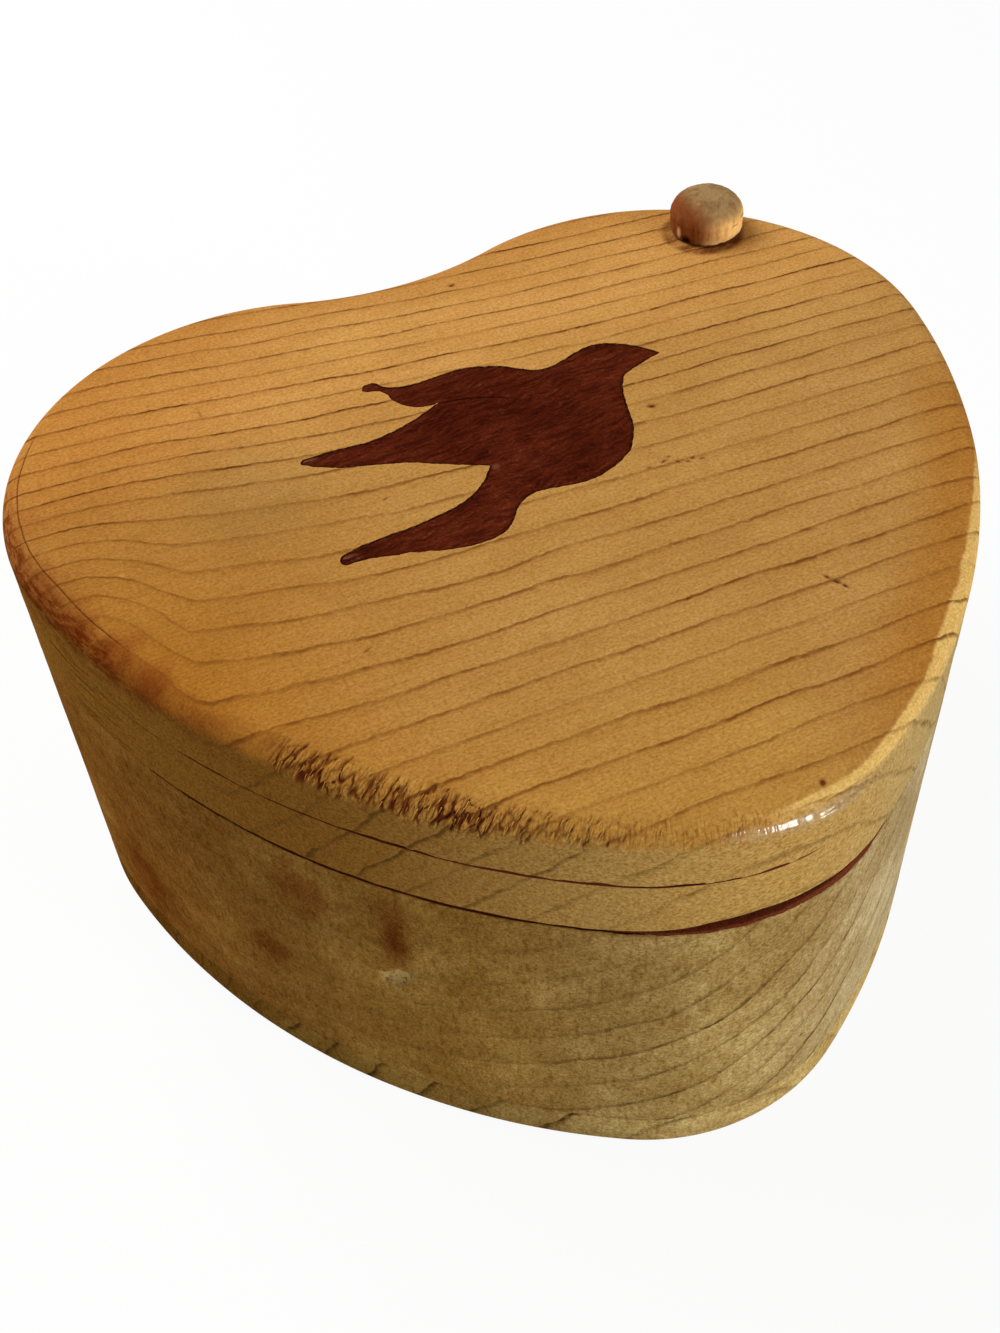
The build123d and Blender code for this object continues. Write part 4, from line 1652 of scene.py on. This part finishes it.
# The camera as it stood for the photograph, with the focal length in the photograph's own pixels
camera_spot = Vector((-0.06170, -0.13560, 0.18955))
camera_back = Vector((-0.2538, -0.6417, 0.7237)).normalized()
camera_roll = radians(-3.367)
photo_height_px = 1333
focal_px = 1529.14
sensor = 36.0

key_direction = Vector((0.500, -0.832, 0.242))
key_distance = 0.80
key_size = 0.20
top_direction = Vector((-0.35, 0.55, 0.76))
top_distance = 0.65
top_size = 0.45
floor_half_size = 3.0


def add_lamp(name, direction, distance, size, power):
    """A square lamp aimed at the box."""
    data = bpy.data.lights.new(name, "AREA")
    data.shape = "SQUARE"
    data.size = size
    data.energy = power
    lamp = bpy.data.objects.new(name, data)
    aim = Vector((0, 0, half_length / 2))
    lamp.location = aim + direction.normalized() * distance
    lamp.rotation_euler = direction.to_track_quat("Z", "Y").to_euler()
    bpy.context.scene.collection.objects.link(lamp)


def build_floor():
    """Pale floor that stays near white to the camera and keeps the box's shadow."""
    stage = bpy.context.scene.heart_box_stage
    vertices = [(0.0, 0.0, 0.0)]
    loops = [circle_loop(Vector(), floor_half_size * share / 60, 64) for share in (1, 6, 20, 60)]
    numbers = [add_ring(vertices, at_height(loop, 0)) for loop in loops]
    floor = new_piece("floor", vertices, fan(numbers[0], 0) + wall(numbers[::-1]))
    material = bpy.data.materials.new("pale floor")
    material.use_nodes = True
    nodes = Nodes(material.node_tree)
    grain = nodes.signal("ShaderNodeTexNoise", {"Scale": 60}, "Fac")
    share = nodes.signal("ShaderNodeMapRange", {"Value": grain, "To Min": 0.97, "To Max": 1})
    colour = nodes.mix(share, scaled(stage.floor_colour, 0.97, 0.97, 0.97), stage.floor_colour)
    matt = nodes.signal("ShaderNodeBsdfDiffuse", {"Color": colour})
    glow = nodes.signal("ShaderNodeEmission")
    seen = nodes.signal("ShaderNodeLightPath", output="Is Camera Ray")
    blend = nodes.signal("ShaderNodeMixShader", {0: seen * 0.93, 1: matt, 2: glow})
    nodes.node("ShaderNodeOutputMaterial", {"Surface": blend})
    floor.data.materials.append(material)


def build_world():
    """White background with even light from all round."""
    stage = bpy.context.scene.heart_box_stage
    world = bpy.data.worlds.new("studio")
    bpy.context.scene.world = world
    world.use_nodes = True
    nodes = Nodes(world.node_tree)
    seen = nodes.node("ShaderNodeLightPath").outputs
    direct = nodes.math("MAXIMUM", seen["Is Camera Ray"], seen["Is Glossy Ray"])
    bright = nodes.math("MAXIMUM", direct, seen["Is Transmission Ray"])
    inputs = {"Value": bright, "To Min": stage.fill_light, "To Max": 1}
    strength = nodes.signal("ShaderNodeMapRange", inputs)
    background = nodes.signal("ShaderNodeBackground", {"Color": (1, 1, 1), "Strength": strength})
    nodes.node("ShaderNodeOutputWorld", {"Surface": background})


def build_camera():
    """The camera where the photograph was taken from."""
    level = Vector((-camera_back.y, camera_back.x, 0.0)).normalized()
    upward = camera_back.cross(level)
    right = cos(camera_roll) * level + sin(camera_roll) * upward
    up = cos(camera_roll) * upward - sin(camera_roll) * level
    data = bpy.data.cameras.new("camera")
    data.sensor_width = sensor
    data.lens = focal_px / photo_height_px * sensor
    data.clip_start = 0.01
    camera = bpy.data.objects.new("camera", data)
    turn = Matrix((right, up, camera_back)).transposed()
    camera.matrix_world = Matrix.Translation(camera_spot) @ turn.to_4x4()
    bpy.context.scene.collection.objects.link(camera)
    bpy.context.scene.camera = camera


def build_stage():
    """Floor, lamps, background and camera."""
    stage = bpy.context.scene.heart_box_stage
    bpy.context.scene.view_settings.view_transform = "Standard"
    build_camera()
    build_floor()
    build_world()
    add_lamp("key_lamp", key_direction, key_distance, key_size, stage.key_power)
    add_lamp("top_lamp", top_direction, top_distance, top_size, stage.top_power)


# Operators, panel and registration


class HEARTBOX_OT_stage(bpy.types.Operator):
    """Set up the floor, the lamps and the camera"""

    bl_idname = "heart_box.stage"
    bl_label = "Stage"

    def execute(self, context):
        build_stage()
        return {"FINISHED"}


class HEARTBOX_OT_base_board(bpy.types.Operator):
    """Build the base board"""

    bl_idname = "heart_box.base_board"
    bl_label = "Base Board"

    def execute(self, context):
        build_base_board()
        return {"FINISHED"}


class HEARTBOX_OT_body_ring(bpy.types.Operator):
    """Build the sawn ring of the box"""

    bl_idname = "heart_box.body_ring"
    bl_label = "Body Ring"

    def execute(self, context):
        build_body_ring()
        return {"FINISHED"}


class HEARTBOX_OT_felt_lining(bpy.types.Operator):
    """Build the felt on the wall, the floor and the rim"""

    bl_idname = "heart_box.felt_lining"
    bl_label = "Felt Lining"

    def execute(self, context):
        build_felt_lining()
        return {"FINISHED"}


class HEARTBOX_OT_under_board(bpy.types.Operator):
    """Build the under board of the lid"""

    bl_idname = "heart_box.under_board"
    bl_label = "Under Board"

    def execute(self, context):
        build_under_board()
        return {"FINISHED"}


class HEARTBOX_OT_top_board(bpy.types.Operator):
    """Build the top board of the lid with its torn grain"""

    bl_idname = "heart_box.top_board"
    bl_label = "Top Board"

    def execute(self, context):
        build_top_board()
        return {"FINISHED"}


class HEARTBOX_OT_bird(bpy.types.Operator):
    """Build the inlaid bird and its glue line"""

    bl_idname = "heart_box.bird"
    bl_label = "Bird Inlay"

    def execute(self, context):
        build_bird()
        return {"FINISHED"}


class HEARTBOX_OT_peg(bpy.types.Operator):
    """Build the pivot peg"""

    bl_idname = "heart_box.peg"
    bl_label = "Pivot Peg"

    def execute(self, context):
        build_peg()
        return {"FINISHED"}


class HEARTBOX_PT_panel(bpy.types.Panel):
    """Lists the box's settings and its pieces"""

    bl_idname = "HEARTBOX_PT_panel"
    bl_label = "Heart Box"
    bl_space_type = "VIEW_3D"
    bl_region_type = "UI"
    bl_category = "Heart Box"

    def draw(self, context):
        layout = self.layout
        for group in property_groups:
            settings = getattr(context.scene, group)
            box = layout.box()
            for name in settings.bl_rna.properties.keys():
                if name not in ("rna_type", "name"):
                    box.prop(settings, name)
        for operator in operators:
            layout.operator(operator.bl_idname)


property_groups = {
    "heart_box_woods": HeartBoxWoods,
    "heart_box_wear": HeartBoxWear,
    "heart_box_felt": HeartBoxFelt,
    "heart_box_stage": HeartBoxStage,
}

operators = (
    HEARTBOX_OT_stage,
    HEARTBOX_OT_base_board,
    HEARTBOX_OT_body_ring,
    HEARTBOX_OT_felt_lining,
    HEARTBOX_OT_under_board,
    HEARTBOX_OT_top_board,
    HEARTBOX_OT_bird,
    HEARTBOX_OT_peg,
)


def register():
    """Registers the settings, the operators and the panel."""
    for name, group in property_groups.items():
        bpy.utils.register_class(group)
        setattr(bpy.types.Scene, name, PointerProperty(type=group))
    for operator in operators:
        bpy.utils.register_class(operator)
    bpy.utils.register_class(HEARTBOX_PT_panel)


def unregister():
    """Removes what register added."""
    bpy.utils.unregister_class(HEARTBOX_PT_panel)
    for operator in reversed(operators):
        bpy.utils.unregister_class(operator)
    for name, group in reversed(property_groups.items()):
        delattr(bpy.types.Scene, name)
        bpy.utils.unregister_class(group)


def main():
    """Builds every piece in order."""
    register()
    bpy.ops.heart_box.stage()
    bpy.ops.heart_box.base_board()
    bpy.ops.heart_box.body_ring()
    bpy.ops.heart_box.felt_lining()
    bpy.ops.heart_box.under_board()
    bpy.ops.heart_box.top_board()
    bpy.ops.heart_box.bird()
    bpy.ops.heart_box.peg()


if __name__ == "__main__":
    main()
